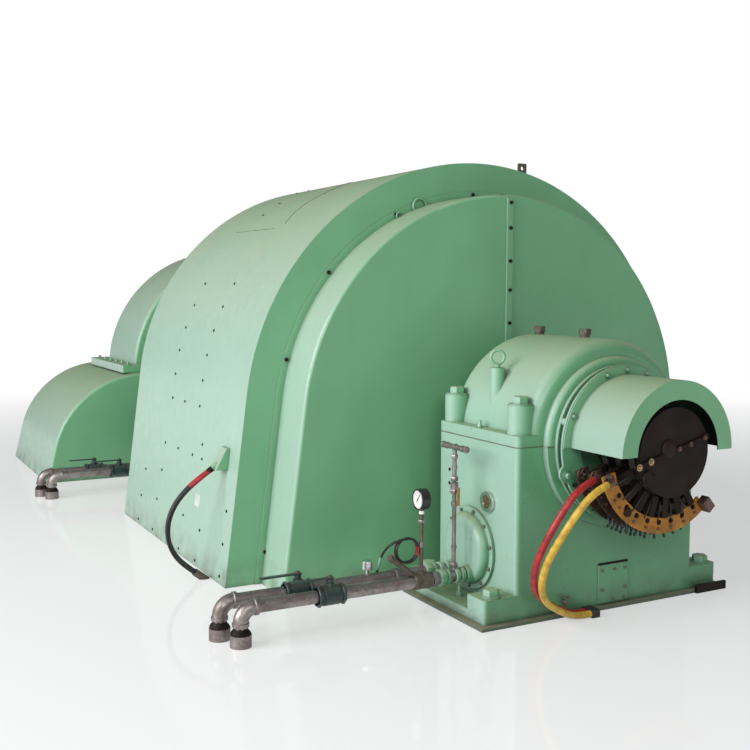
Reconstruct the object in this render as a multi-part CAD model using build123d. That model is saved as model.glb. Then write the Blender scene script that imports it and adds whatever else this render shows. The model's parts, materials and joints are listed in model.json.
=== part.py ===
from build123d import *
import math
import os

# Horizontal Pelton turbine and generator set on one shaft along Y.
# The slip-ring end points to -Y and the turbine casing to +Y. The floor is Z = 0.
# The origin is on the floor under the shaft, at the middle of the front sole plate.
# Lengths are millimetres and angles are degrees.

# Shaft line
SHAFT_HEIGHT = 825
JOURNAL_R = 125
BEARING_CLEARANCE = 0.1
RUNNING_GAP = 12
SHAFT_SEAL_GAP = 0.3
SHAFT_BODY_R = 140
SHAFT_BODY_END = 100
TOUCH_GAP = 0.3

# Pedestal bearings, front and rear
PEDESTAL_SPACING = 3600
SOLE_WIDTH = 1540
SOLE_DEPTH = 720
SOLE_THICKNESS = 14
FOOT_WIDTH = 1464
FOOT_FLOOR = 56
FOOT_LUG_HEIGHT = 128
FOOT_LUG_DEPTH = 142
FOOT_CORNER_R = 20
BODY_WIDTH = 1114
BODY_DEPTH = 681
BODY_FRONT_Y = -321
BODY_CORNER_R = 24
BEARING_SHELL_R = 190
CAP_FLANGE_THICKNESS = 54
CAP_R = 492
CAP_EDGE_R = 60
CAP_BOSS_R = 62
CAP_BOSS_HEIGHT = 138
CAP_BOSS_X = 490
CAP_BOSS_FRONT_EDGE = 75
CAP_BOSS_BACK_EDGE = 63

# Side covers of the oil sump
COVER_Y = 52
COVER_Z = 280
COVER_R = 205
COVER_FLANGE = 16
COVER_DOME_R = 176
COVER_DOME_DEPTH = 46
SPIGOT_R = 42
SPIGOT_LENGTH = 85

# Fittings on the pedestals
EYE_BOSS_R = 36
EYE_BOSS_X = 424
EYE_BOSS_SETBACK = 358
EYE_BOSS_RISE = 345
EYE_RING_R = 40
EYE_BAR_R = 7
EYE_COLLAR = 15
EYE_TURN = -28
PLUG_R = 32
PLUG_HEIGHT = 28
PLUG_NECK_R = 24
PLUG_NECK_HEIGHT = 14
PLUG_X = 10
PLUG_SETBACKS = (221, 590)
GLASS_R = 32
GLASS_BEZEL_R = 50
GLASS_DEPTH = 18
GLASS_Y = -95
GLASS_Z = 535
DOOR_X = 30
DOOR_WIDTH = 190
DOOR_BOTTOM = 20
DOOR_TOP = 212
DOOR_THICKNESS = 8
DRAIN_X = -280
DRAIN_Z = 66
DRAIN_R = 9
DRAIN_REACH = 34
DRAIN_HANDLE = 46
DRAIN_HANDLE_R = 5

# Seal boss and seal plate on each pedestal's front face
SEAL_BOSS_R = 412
SEAL_BOSS_DEPTH = 34
CAP_BOSS_EDGE_R = 28
SEAL_PLATE_R = 372
SEAL_PLATE_DEPTH = 20

# Slip-ring end
CARRIER_GAP = 30
CARRIER_R = 376
CARRIER_BORE_R = 262
CARRIER_THICKNESS = 12
CARRIER_EAR_R = 42
CARRIER_EAR_CIRCLE_R = 365
CARRIER_EAR_ANGLE = 19.4
STANDOFF_R = 20
CANOPY_R = 330
CANOPY_LIP_R = 242
CANOPY_SKIN = 5
CANOPY_LENGTH = 346
CANOPY_FLANGE_R = 372
CANOPY_FLANGE = 6
HUB_R = 150
RING_R = 205
RING_WIDTH = 36
RING_COUNT = 3
RING_PITCH = 90
RING_FIRST = 88
DISC_R = 206
DISC_THICKNESS = 28
DISC_SETBACK = 26
DISC_STRAP_TURN = 15
DISC_STRAP_LENGTH = 458
DISC_STRAP_WIDTH = 20
DISC_STRAP_DEPTH = 10
DISC_STRAP_LUG_R = 19
DISC_STRAP_X = -20
DISC_STRAP_RISE = 5

# Brush gear
ARC_INNER_R = 307
ARC_OUTER_R = 380
ARC_THICKNESS = 10
ARC_START = 194
ARC_END = 312
HOLDER_COUNT = 7
HOLDER_END = 10
HOLDER_GAP = 6
HOLDER_LENGTH = 30
HOLDER_THICKNESS = 34
BRACKET_REACH = 38
BRACKET_THICKNESS = 10
STUD_R = 9
STUD_COUNT = 4
STUD_END = 16
LUG_R = 27
LUG_THICKNESS = 10
LUG_ANGLE = 197
END_BLOCK_SIZE = (62, 44, 46)
END_BLOCK_ANGLE = 312

# Generator hood
HOOD_FRONT_Y = 836
HOOD_LENGTH = 2000
HOOD_R = 1446
HOOD_FLARE = 7.3
HOOD_PLATE = 8
BELL_R = 1248
BELL_FLANGE_R = 1284
BELL_FLANGE = 8
BELL_DEPTH = 290
BELL_EDGE_R = 18
STRAP_WIDTH = 38
STRAP_THICKNESS = 14
STRAP_FOOT = 40
SHAFT_SEAL_R = 210
SHAFT_SEAL_DEPTH = 30
HOOD_LUG_X = 330
HOOD_LUG_Y = 40
HOOD_LUG_HEIGHT = 62
HOOD_LUG_WIDTH = 56
HOOD_LUG_THICKNESS = 14
HOOD_LUG_HOLE_R = 13
OUTLET_Y = 148
OUTLET_LENGTH = 90
OUTLET_LOW = 595
OUTLET_HIGH = 708
OUTLET_LOW_REACH = 66
OUTLET_HIGH_REACH = 20

# Turbine casing
TURBINE_Y = 4850
LOWER_FRONT_REACH = 650
LOWER_BACK_REACH = 843
LOWER_HEIGHT = 850
LOWER_TOP_WIDTH = 2080
LOWER_SHOULDER_R = 742
LOWER_FLARE = 13.3
LOWER_EDGE_R = 25
SPLIT_WIDTH = 2360
SPLIT_DEPTH = 1130
SPLIT_THICKNESS = 62
UPPER_R = 1056
UPPER_DEPTH = 862
UPPER_EDGE_R = 30
TURBINE_SEAL_R = 200

# Oil pipes and valves; a drop or valve is placed by its reach from the pedestal wall
PIPE_R = 30.15
PIPE_Z = 168
PIPE_NEAR_Y = -12
PIPE_FAR_Y = 118
FRONT_NEAR_DROP = 1243
FRONT_FAR_DROP = 1293
REAR_NEAR_DROP = 1348
REAR_FAR_DROP = 1398
PIPE_BEND_R = 64
UNION_R = 48
UNION_HEIGHT = 54
FRONT_NEAR_VALVE = 812
FRONT_FAR_VALVE = 914
REAR_NEAR_VALVE = 847
REAR_FAR_VALVE = 1006
VALVE_LENGTH = 136
VALVE_BODY_R = 46
VALVE_HEX_R = 44
VALVE_HEX_LENGTH = 30
VALVE_NECK_R = 16
VALVE_NECK_TOP = 76
STEM_R = 8
STEM_TOP = 92
LEVER_LENGTH = 186
LEVER_TAIL = 16
LEVER_WIDTH = 22
LEVER_THICKNESS = 7

# Gauge with its slanted branch, oil cup and drip line, by their reach from the pedestal wall
GAUGE_REACH = 328
GAUGE_Z = 563
GAUGE_R = 51
GAUGE_DEPTH = 42
GAUGE_STEM_R = 9
BRANCH_R = 13
BRANCH_LENGTH = 222
BRANCH_RISE = 37.7
BRANCH_CAP_R = 17
BRANCH_CAP_LENGTH = 26
CUP_REACH = 550
CUP_R = 26
CUP_NECK_R = 9
CUP_NECK_HEIGHT = 24
CUP_HEIGHT = 40
DRIP_REACH = 145
DRIP_R = 10.5
DRIP_TOP = 800
TEE_LENGTH = 210
TEE_R = 13
DRIP_VALVE_Z = 600
DRIP_VALVE_R = 19
DRIP_VALVE_HEIGHT = 52
DRIP_STEM_R = 5
DRIP_STEM_REACH = 38
DRIP_LEVER_LENGTH = 80
DRIP_LEVER_WIDTH = 14
DRIP_LEVER_THICKNESS = 5

# Excitation leads from the brush gear down to the floor, and the bush where they end
LEAD_R = 17
LEAD_BARREL_LENGTH = 34
RED_ROUTE = [
    (-362, -624, 712),
    (-456, -642, 688),
    (-540, -645, 605),
    (-604, -608, 470),
    (-622, -545, 330),
    (-575, -480, 200),
    (-462, -426, 114),
    (-348, -388, 52),
    (-265, -379, 18),
    (-190, -379, 18),
]
YELLOW_ROUTE = [
    (-362, -714, 705),
    (-436, -720, 682),
    (-510, -706, 608),
    (-570, -668, 490),
    (-608, -612, 365),
    (-592, -552, 240),
    (-520, -494, 142),
    (-412, -452, 78),
    (-328, -426, 36),
    (-256, -417, 18),
    (-190, -417, 18),
]
BUSH_SIZE = (46, 74, 38)
BUSH_Y = -398

# Power cables from the outlet box down to a stub of floor conduit, and the sensor cable at the gauge
POWER_CABLE_R = 15
POWER_GLAND_R = 18
POWER_GLAND_LENGTH = 34
CONDUIT_R = 20
POWER_ROUTE = [
    (-1560, 1029, 600),
    (-1624, 1029, 558),
    (-1691, 1031, 507),
    (-1748, 1034, 448),
    (-1787, 1038, 378),
    (-1804, 1042, 300),
    (-1796, 1046, 222),
    (-1764, 1050, 151),
    (-1713, 1054, 92),
    (-1652, 1058, 44),
]
COIL_R = 58
SENSOR_CABLE_R = 6
COIL_GAP_ANGLE = 40
SENSOR_ROUTE = [
    (-44, 0, 0),
    (-85, 24, -22),
    (-103, 64, -72),
    (-99, 104, -128),
    (-96, 130, -177),
]

parts = {}


def add(name, *solids):
    """Keeps the solids of one named piece."""
    parts[name] = Compound(children=list(solids)) if len(solids) > 1 else solids[0]


def y_cylinder(radius, y_low, y_high, x=0, z=SHAFT_HEIGHT):
    """Cylinder along Y between two Y values, on the shaft line unless placed elsewhere."""
    return Pos(x, (y_low + y_high) / 2, z) * Rot(90, 0, 0) * Cylinder(radius, y_high - y_low)


def x_cylinder(radius, x_low, x_high, y, z):
    """Cylinder along X between two X values."""
    return Pos((x_low + x_high) / 2, y, z) * Rot(0, 90, 0) * Cylinder(radius, x_high - x_low)


def z_cylinder(radius, z_low, z_high, x, y):
    """Upright cylinder between two heights."""
    return Pos(x, y, (z_low + z_high) / 2) * Cylinder(radius, z_high - z_low)


def y_ring(outer, inner, y_low, y_high):
    """Ring about the shaft between two Y values."""
    return y_cylinder(outer, y_low, y_high) - y_cylinder(inner, y_low, y_high)


def block(x_low, x_high, y_low, y_high, z_low, z_high):
    """Box between two corners."""
    size = (x_high - x_low, y_high - y_low, z_high - z_low)
    return Pos((x_low + x_high) / 2, (y_low + y_high) / 2, (z_low + z_high) / 2) * Box(*size)


def polar(radius, angle):
    """X and Z at a radius and angle about the shaft, the angle from +X towards +Z."""
    turn = math.radians(angle)
    return radius * math.cos(turn), SHAFT_HEIGHT + radius * math.sin(turn)


def spread(start, end, count):
    """Evenly spaced values from start to end."""
    return [start + (end - start) * index / (count - 1) for index in range(count)]


# Pedestals: the front one is at shift 0 and the rear one a pedestal spacing further along the shaft
eye_foot = SHAFT_HEIGHT + EYE_BOSS_RISE


def sole_plate(shift):
    """Thin plate under a pedestal."""
    half = SOLE_DEPTH / 2
    return block(-SOLE_WIDTH / 2, SOLE_WIDTH / 2, shift - half, shift + half, 0, SOLE_THICKNESS)


def pedestal(shift):
    """Cast pedestal: foot with four bolting lugs, body with a round seal boss, and the lower half bore."""
    front = BODY_FRONT_Y + shift
    back = front + BODY_DEPTH
    half = BODY_WIDTH / 2
    foot = FOOT_WIDTH / 2
    casting = block(-half, half, front, back, SOLE_THICKNESS, SHAFT_HEIGHT)
    casting = fillet(casting.edges().filter_by(Axis.Z), BODY_CORNER_R)
    low_foot = block(-foot, foot, front, back, SOLE_THICKNESS, FOOT_FLOOR)
    casting += fillet(low_foot.edges().filter_by(Axis.Z), FOOT_CORNER_R)
    outer_ends = block(-foot, foot, front, back, SOLE_THICKNESS, FOOT_LUG_HEIGHT)
    lugs = fillet(outer_ends.edges().filter_by(Axis.Z), FOOT_CORNER_R)
    lugs -= block(-foot, foot, front + FOOT_LUG_DEPTH, back - FOOT_LUG_DEPTH, 0, 2 * FOOT_LUG_HEIGHT)
    casting += lugs
    seal_boss = y_cylinder(SEAL_BOSS_R, front - SEAL_BOSS_DEPTH, front)
    casting += seal_boss & block(-half, half, front - SEAL_BOSS_DEPTH, front, 0, SHAFT_HEIGHT)
    return casting - y_cylinder(BEARING_SHELL_R, front - SEAL_BOSS_DEPTH, back)


def bearing_cap(shift):
    """Half-round cap with a flat flange, four bolt bosses, two lifting bosses and the upper half bore."""
    front = BODY_FRONT_Y + shift
    back = front + BODY_DEPTH
    half = BODY_WIDTH / 2
    flange_top = SHAFT_HEIGHT + CAP_FLANGE_THICKNESS
    flange = block(-half, half, front, back, SHAFT_HEIGHT, flange_top)
    cap = fillet(flange.edges().filter_by(Axis.Z), BODY_CORNER_R)
    dome = y_cylinder(CAP_R, front, back)
    cap += fillet(dome.edges().filter_by(GeomType.CIRCLE), CAP_EDGE_R)
    for x in (-CAP_BOSS_X, CAP_BOSS_X):
        for y in (front + CAP_BOSS_FRONT_EDGE, back - CAP_BOSS_BACK_EDGE):
            cap += z_cylinder(CAP_BOSS_R, SHAFT_HEIGHT, flange_top + CAP_BOSS_HEIGHT, x, y)
    for x in (-EYE_BOSS_X, EYE_BOSS_X):
        cap += z_cylinder(EYE_BOSS_R, flange_top, eye_foot, x, front + EYE_BOSS_SETBACK)
    seal_boss = y_cylinder(SEAL_BOSS_R, front - SEAL_BOSS_DEPTH, front + CAP_EDGE_R)
    seal_edge = seal_boss.edges().filter_by(GeomType.CIRCLE).sort_by(Axis.Y)[0]
    cap += fillet(seal_edge, CAP_BOSS_EDGE_R)
    below = block(-half, half, front - SEAL_BOSS_DEPTH, back, SHAFT_HEIGHT - CAP_R, SHAFT_HEIGHT)
    return cap - below - y_cylinder(BEARING_SHELL_R, front - SEAL_BOSS_DEPTH, back)


def bearing_shell(shift):
    """Plain bearing sleeve between the shaft journal and the pedestal."""
    front = BODY_FRONT_Y + shift
    return y_ring(BEARING_SHELL_R, JOURNAL_R + BEARING_CLEARANCE, front - SEAL_BOSS_DEPTH, front + BODY_DEPTH)


def side_cover(shift, side, spigot_rows):
    """Domed sump cover with a bolted flange; the pipe side has a spigot for each pipe."""
    wall = BODY_WIDTH / 2
    flange = Pos(0, 0, wall + COVER_FLANGE / 2) * Cylinder(COVER_R, COVER_FLANGE)
    dome = Pos(0, 0, wall + COVER_FLANGE + COVER_DOME_DEPTH / 2) * Cylinder(COVER_DOME_R, COVER_DOME_DEPTH)
    rim = dome.edges().filter_by(GeomType.CIRCLE).sort_by(Axis.Z)[-1]
    dome = fillet(rim, COVER_DOME_DEPTH * 0.9)
    cover = Pos(0, COVER_Y + shift, COVER_Z) * Rot(0, 90 * side, 0) * (flange + dome)
    for y in spigot_rows:
        cover += x_cylinder(SPIGOT_R, -wall - SPIGOT_LENGTH, -wall - COVER_FLANGE, y + shift, PIPE_Z)
    return cover


def lifting_eye(x, y, z):
    """Eye bolt with a collar, and a ring screwed home a little off the Y direction."""
    ring = Pos(x, y, z + EYE_COLLAR + EYE_RING_R - EYE_BAR_R / 2) * Rot(0, 0, EYE_TURN) * Rot(90, 0, 0)
    ring *= Torus(EYE_RING_R - EYE_BAR_R, EYE_BAR_R)
    return ring + z_cylinder(2 * EYE_BAR_R, z, z + EYE_COLLAR, x, y)


def oil_plug(x, y, z):
    """Hexagonal plug on a round neck."""
    head = extrude(RegularPolygon(PLUG_R, 6), amount=PLUG_HEIGHT)
    return z_cylinder(PLUG_NECK_R, z, z + PLUG_NECK_HEIGHT, x, y) + Pos(x, y, z + PLUG_NECK_HEIGHT) * head


REAR = PEDESTAL_SPACING
SHIFTS = (0, REAR)
PIPE_ROWS = (PIPE_NEAR_Y, PIPE_FAR_Y)
add("sole_plates", *[sole_plate(shift) for shift in SHIFTS])
add("front_pedestal", pedestal(0))
add("rear_pedestal", pedestal(REAR))
add("front_bearing_cap", bearing_cap(0))
add("rear_bearing_cap", bearing_cap(REAR))
add("bearing_shells", *[bearing_shell(shift) for shift in SHIFTS])
covers = []
eyes = []
plugs = []
for shift in SHIFTS:
    covers += [side_cover(shift, -1, PIPE_ROWS), side_cover(shift, 1, ())]
    front = BODY_FRONT_Y + shift
    eyes += [lifting_eye(x, front + EYE_BOSS_SETBACK, eye_foot) for x in (-EYE_BOSS_X, EYE_BOSS_X)]
    plug_foot = SHAFT_HEIGHT + math.sqrt(CAP_R**2 - PLUG_X**2)
    for setback in PLUG_SETBACKS:
        plug = oil_plug(PLUG_X, front + setback, plug_foot)
        neck = z_cylinder(PLUG_NECK_R, plug_foot - PLUG_NECK_R, plug_foot, PLUG_X, front + setback)
        plugs.append(plug + neck - y_cylinder(CAP_R, front, front + BODY_DEPTH))
add("pedestal_side_covers", *covers)
add("lifting_eyes", *eyes)
add("oil_filler_plugs", *plugs)
wall_x = -BODY_WIDTH / 2
bezel = x_cylinder(GLASS_BEZEL_R, wall_x - GLASS_DEPTH, wall_x, GLASS_Y, GLASS_Z)
glass_hole = x_cylinder(GLASS_R, wall_x - GLASS_DEPTH, wall_x, GLASS_Y, GLASS_Z)
add("sight_glass_bezel", bezel - glass_hole)
add("sight_glass", x_cylinder(GLASS_R, wall_x - GLASS_DEPTH * 0.7, wall_x, GLASS_Y, GLASS_Z))
door = block(
    DOOR_X - DOOR_WIDTH / 2,
    DOOR_X + DOOR_WIDTH / 2,
    BODY_FRONT_Y - DOOR_THICKNESS,
    BODY_FRONT_Y,
    DOOR_BOTTOM,
    DOOR_TOP,
)
add("access_plate", door)
drain = y_cylinder(DRAIN_R, BODY_FRONT_Y - DRAIN_REACH, BODY_FRONT_Y, DRAIN_X, DRAIN_Z)
drain_y = BODY_FRONT_Y - DRAIN_REACH + DRAIN_R
handle_z = DRAIN_Z + 3 * DRAIN_R
drain += z_cylinder(DRAIN_HANDLE_R, DRAIN_Z, handle_z, DRAIN_X, drain_y)
drain += x_cylinder(DRAIN_HANDLE_R, DRAIN_X - DRAIN_HANDLE / 2, DRAIN_X + DRAIN_HANDLE / 2, drain_y, handle_z)
add("drain_cock", drain)

# Slip-ring end: seal plate, brush carrier ring and half-round canopy
seal_low = BODY_FRONT_Y - SEAL_BOSS_DEPTH - SEAL_PLATE_DEPTH
carrier_back = seal_low - CARRIER_GAP
carrier_front = carrier_back - CARRIER_THICKNESS
canopy_front = carrier_front - CANOPY_FLANGE - CANOPY_LENGTH
add("seal_plate", y_ring(SEAL_PLATE_R, JOURNAL_R + RUNNING_GAP, seal_low, seal_low + SEAL_PLATE_DEPTH))
carrier = y_cylinder(CARRIER_R, carrier_front, carrier_back)
for angle in (-CARRIER_EAR_ANGLE, 180 + CARRIER_EAR_ANGLE):
    x, z = polar(CARRIER_EAR_CIRCLE_R, angle)
    carrier += y_cylinder(CARRIER_EAR_R, carrier_front, carrier_back, x, z)
for angle in (-CARRIER_EAR_ANGLE, CARRIER_EAR_ANGLE, 180 - CARRIER_EAR_ANGLE, 180 + CARRIER_EAR_ANGLE):
    x, z = polar(SEAL_PLATE_R - STANDOFF_R, angle)
    carrier += y_cylinder(STANDOFF_R, carrier_back, seal_low, x, z)
add("brush_carrier_ring", carrier - y_cylinder(CARRIER_BORE_R, carrier_front, carrier_back))
canopy = y_ring(CANOPY_R, CANOPY_R - CANOPY_SKIN, canopy_front, carrier_front)
canopy += y_ring(CANOPY_R, CANOPY_LIP_R, canopy_front, canopy_front + CANOPY_SKIN)
canopy += y_ring(CANOPY_FLANGE_R, CANOPY_R - CANOPY_SKIN, carrier_front - CANOPY_FLANGE, carrier_front)
upper_half = block(-BODY_WIDTH, BODY_WIDTH, canopy_front, carrier_front, SHAFT_HEIGHT, 2 * SHAFT_HEIGHT)
add("slip_ring_canopy", canopy & upper_half)

# Rotor: stepped shaft, slip-ring hub, slip rings and end disc with its strap
disc_front = canopy_front + DISC_SETBACK
disc_back = disc_front + DISC_THICKNESS
shaft = y_cylinder(JOURNAL_R, disc_back, TURBINE_Y)
body_low = HOOD_FRONT_Y + SHAFT_BODY_END
body_high = HOOD_FRONT_Y + HOOD_LENGTH - SHAFT_BODY_END
add("shaft", shaft + y_cylinder(SHAFT_BODY_R, body_low, body_high))
add("slip_ring_hub", y_ring(HUB_R, JOURNAL_R, disc_back, carrier_back))
ring_middles = [carrier_front - RING_FIRST - index * RING_PITCH for index in range(RING_COUNT)]
half_ring = RING_WIDTH / 2
add("slip_rings", *[y_ring(RING_R, HUB_R, middle - half_ring, middle + half_ring) for middle in ring_middles])
add("slip_ring_end_disc", y_cylinder(DISC_R, disc_front, disc_back))
strap_place = Pos(DISC_STRAP_X, disc_front, SHAFT_HEIGHT + DISC_STRAP_RISE) * Rot(0, -DISC_STRAP_TURN, 0)
strap_outline = Rectangle(DISC_STRAP_LENGTH - 2 * DISC_STRAP_LUG_R, DISC_STRAP_WIDTH)
for end in (-1, 1):
    strap_outline += Pos(end * (DISC_STRAP_LENGTH / 2 - DISC_STRAP_LUG_R), 0) * Circle(DISC_STRAP_LUG_R)
add("end_disc_strap", strap_place * extrude(Plane.XZ * strap_outline, amount=DISC_STRAP_DEPTH))

# Brush gear: an insulating arc plate below each slip ring, with brush holders, studs and terminals


def arc_plate(middle):
    """Flat ring sector about the shaft."""
    sweep_angle = ARC_END - ARC_START
    profile = Pos((ARC_INNER_R + ARC_OUTER_R) / 2, 0) * Rectangle(ARC_OUTER_R - ARC_INNER_R, ARC_THICKNESS)
    sector = revolve(Plane.XZ * profile, Axis.Z, sweep_angle)
    return Pos(0, middle, SHAFT_HEIGHT) * Rot(-90, 0, 0) * Rot(0, 0, -ARC_END) * sector


def brush_holder(middle, angle):
    """Brush box over its slip ring, hung from the back of the arc plate by a bracket."""
    inner = RING_R + HOLDER_GAP
    box_length = math.sqrt((ARC_INNER_R - TOUCH_GAP) ** 2 - (HOLDER_THICKNESS / 2) ** 2) - inner
    box = Pos(inner + box_length / 2, 0, 0) * Box(box_length, HOLDER_LENGTH, HOLDER_THICKNESS)
    back = ARC_THICKNESS / 2
    bracket_middle = ARC_INNER_R + BRACKET_REACH / 2 - BRACKET_THICKNESS
    bracket = Pos(bracket_middle, back + BRACKET_THICKNESS / 2, 0)
    bracket *= Box(BRACKET_REACH, BRACKET_THICKNESS, HOLDER_THICKNESS * 0.7)
    return Pos(0, middle, SHAFT_HEIGHT) * Rot(0, -angle, 0) * (box + bracket)


def lead_barrel(route):
    """Crimped end of a lead, in line with its first run."""
    start = Vector(*route[0])
    plane = Plane(origin=start, z_dir=start - Vector(*route[1]))
    return extrude(plane * Circle(LEAD_R), amount=LEAD_BARREL_LENGTH)


add("brush_arc_plates", *[arc_plate(middle) for middle in ring_middles])
holder_angles = spread(ARC_START + HOLDER_END, ARC_END - HOLDER_END, HOLDER_COUNT)
add("brush_holders", *[brush_holder(middle, angle) for middle in ring_middles for angle in holder_angles])
studs = []
stud_circle_r = (ARC_INNER_R + ARC_OUTER_R) / 2 + BRACKET_THICKNESS
stud_steps = [carrier_front, *ring_middles]
for angle in spread(ARC_START + STUD_END, ARC_END - STUD_END, STUD_COUNT):
    x, z = polar(stud_circle_r, angle)
    for behind, ahead in zip(stud_steps, stud_steps[1:]):
        high = behind if behind == carrier_front else behind - ARC_THICKNESS / 2
        studs.append(y_cylinder(STUD_R, ahead + ARC_THICKNESS / 2, high, x, z))
add("brush_studs", *studs)
terminals = []
x, z = polar(stud_circle_r, LUG_ANGLE)
barrels = [None, lead_barrel(RED_ROUTE), lead_barrel(YELLOW_ROUTE)]
for middle, barrel in zip(ring_middles, barrels):
    face = middle - ARC_THICKNESS / 2
    lug = y_cylinder(LUG_R, face - LUG_THICKNESS, face, x, z)
    terminals.append(lug + barrel if barrel else lug)
x, z = polar(stud_circle_r, END_BLOCK_ANGLE)
end_face = ring_middles[-1] - ARC_THICKNESS / 2 - END_BLOCK_SIZE[1] / 2
terminals.append(Pos(x, end_face, z) * Rot(0, -END_BLOCK_ANGLE, 0) * Box(*END_BLOCK_SIZE))
add("brush_terminals", *terminals)

# Generator hood: arched drum, end plates, and a split bell with a centre strap at each end


def arch_side(radius):
    """X and Z where the round top of an arch meets its flared side, and X at the floor."""
    flare = math.radians(HOOD_FLARE)
    side_x = radius * math.cos(flare)
    side_z = SHAFT_HEIGHT + radius * math.sin(flare)
    return side_x, side_z, side_x + side_z * math.tan(flare)


def arch_block(radius, y_low, y_high):
    """Arch-shaped block: a round top about the shaft and straight sides that flare down to the floor."""
    side_x, side_z, foot_x = arch_side(radius)
    sides = Polyline((-side_x, side_z), (-foot_x, 0), (foot_x, 0), (side_x, side_z))
    crown = ThreePointArc((-side_x, side_z), (0, SHAFT_HEIGHT + radius), (side_x, side_z))
    return Pos(0, y_high, 0) * extrude(Plane.XZ * make_face([sides, crown]), amount=y_high - y_low)


hood_back = HOOD_FRONT_Y + HOOD_LENGTH
bell_front = HOOD_FRONT_Y - BELL_DEPTH
shaft_way = y_cylinder(SHAFT_BODY_R + RUNNING_GAP, bell_front - BELL_DEPTH, hood_back + 2 * BELL_DEPTH)
mirror_plane = Plane.XZ.offset(-(HOOD_FRONT_Y + HOOD_LENGTH / 2))
far = HOOD_LENGTH + HOOD_R
add("generator_hood", arch_block(HOOD_R, HOOD_FRONT_Y + HOOD_PLATE, hood_back - HOOD_PLATE) - shaft_way)
front_plate = arch_block(HOOD_R, HOOD_FRONT_Y, HOOD_FRONT_Y + HOOD_PLATE) - shaft_way
add("hood_end_plates", front_plate, mirror(front_plate, about=mirror_plane))
tray = arch_block(BELL_R, bell_front, HOOD_FRONT_Y)
rim = tray.faces().sort_by(Axis.Y)[0].edges().sort_by(Axis.Z)[1:]
bell = fillet(rim, BELL_EDGE_R)
bell += arch_block(BELL_FLANGE_R, HOOD_FRONT_Y - BELL_FLANGE, HOOD_FRONT_Y)
bell -= shaft_way
for side, x_low, x_high in (("left", -far, 0), ("right", 0, far)):
    half = bell & block(x_low, x_high, bell_front, HOOD_FRONT_Y, 0, far)
    add(f"{side}_bell_halves", half, mirror(half, about=mirror_plane))
strap_top = SHAFT_HEIGHT + BELL_R - BELL_EDGE_R
half_strap = STRAP_WIDTH / 2
strap = block(-half_strap, half_strap, bell_front - STRAP_THICKNESS, bell_front, STRAP_FOOT, strap_top)
strap -= y_cylinder(SHAFT_SEAL_R, bell_front - STRAP_THICKNESS, bell_front)
add("bell_centre_straps", *strap.solids(), *mirror(strap, about=mirror_plane).solids())
shaft_seal = y_ring(SHAFT_SEAL_R, JOURNAL_R + SHAFT_SEAL_GAP, bell_front - SHAFT_SEAL_DEPTH, bell_front)
add("hood_shaft_seals", shaft_seal, mirror(shaft_seal, about=mirror_plane))
lug_z = SHAFT_HEIGHT + math.sqrt(HOOD_R**2 - HOOD_LUG_X**2)
lug_y = HOOD_FRONT_Y + HOOD_LUG_Y
lug_back = lug_y + HOOD_LUG_THICKNESS
half_lug = HOOD_LUG_WIDTH / 2
lug_low = HOOD_LUG_X - half_lug
lug = block(lug_low, HOOD_LUG_X + half_lug, lug_y, lug_back, lug_z - half_lug, lug_z + HOOD_LUG_HEIGHT)
lug -= y_cylinder(HOOD_R, lug_y, lug_back)
lug -= y_cylinder(HOOD_LUG_HOLE_R, lug_y, lug_back, HOOD_LUG_X, lug_z + HOOD_LUG_HEIGHT - half_lug)
add("hood_lifting_lug", lug)
outlet_front = HOOD_FRONT_Y + OUTLET_Y
outlet_back = outlet_front + OUTLET_LENGTH
hood_foot_x = arch_side(HOOD_R)[2]
low_x, high_x = [z * math.tan(math.radians(HOOD_FLARE)) - hood_foot_x for z in (OUTLET_LOW, OUTLET_HIGH)]
outlet_face = Polyline(
    (0, OUTLET_LOW),
    (low_x - OUTLET_LOW_REACH, OUTLET_LOW),
    (high_x - OUTLET_HIGH_REACH, OUTLET_HIGH),
    (0, OUTLET_HIGH),
    close=True,
)
outlet = Pos(0, outlet_back, 0) * extrude(Plane.XZ * make_face(outlet_face), amount=OUTLET_LENGTH)
gland_start = Vector(*POWER_ROUTE[0])
gland_plane = Plane(origin=gland_start, z_dir=gland_start - Vector(*POWER_ROUTE[1]))
outlet += extrude(gland_plane * Circle(POWER_GLAND_R), amount=POWER_GLAND_LENGTH)
add("cable_outlet_box", outlet - arch_block(HOOD_R, outlet_front, outlet_back))

# Turbine casing: lower box with rounded shoulders, split flange and half-round upper casing
turbine_front = TURBINE_Y - LOWER_FRONT_REACH
turbine_back = TURBINE_Y + LOWER_BACK_REACH
split_top = LOWER_HEIGHT + SPLIT_THICKNESS
upper_front = TURBINE_Y - UPPER_DEPTH / 2
upper_back = TURBINE_Y + UPPER_DEPTH / 2
turbine_way = y_cylinder(JOURNAL_R + RUNNING_GAP, turbine_front, TURBINE_Y + RUNNING_GAP)
below_split = block(-far, far, turbine_front, turbine_back, -far, split_top)
flare = math.radians(LOWER_FLARE)
shoulder_x = LOWER_TOP_WIDTH / 2
shoulder_z = LOWER_HEIGHT - LOWER_SHOULDER_R
wall_top_x = shoulder_x + LOWER_SHOULDER_R * math.cos(flare)
wall_top_z = shoulder_z + LOWER_SHOULDER_R * math.sin(flare)
casing_foot_x = wall_top_x + wall_top_z * math.tan(flare)
mid_turn = math.radians(45 + LOWER_FLARE / 2)
mid_x = shoulder_x + LOWER_SHOULDER_R * math.cos(mid_turn)
mid_z = shoulder_z + LOWER_SHOULDER_R * math.sin(mid_turn)
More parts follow.
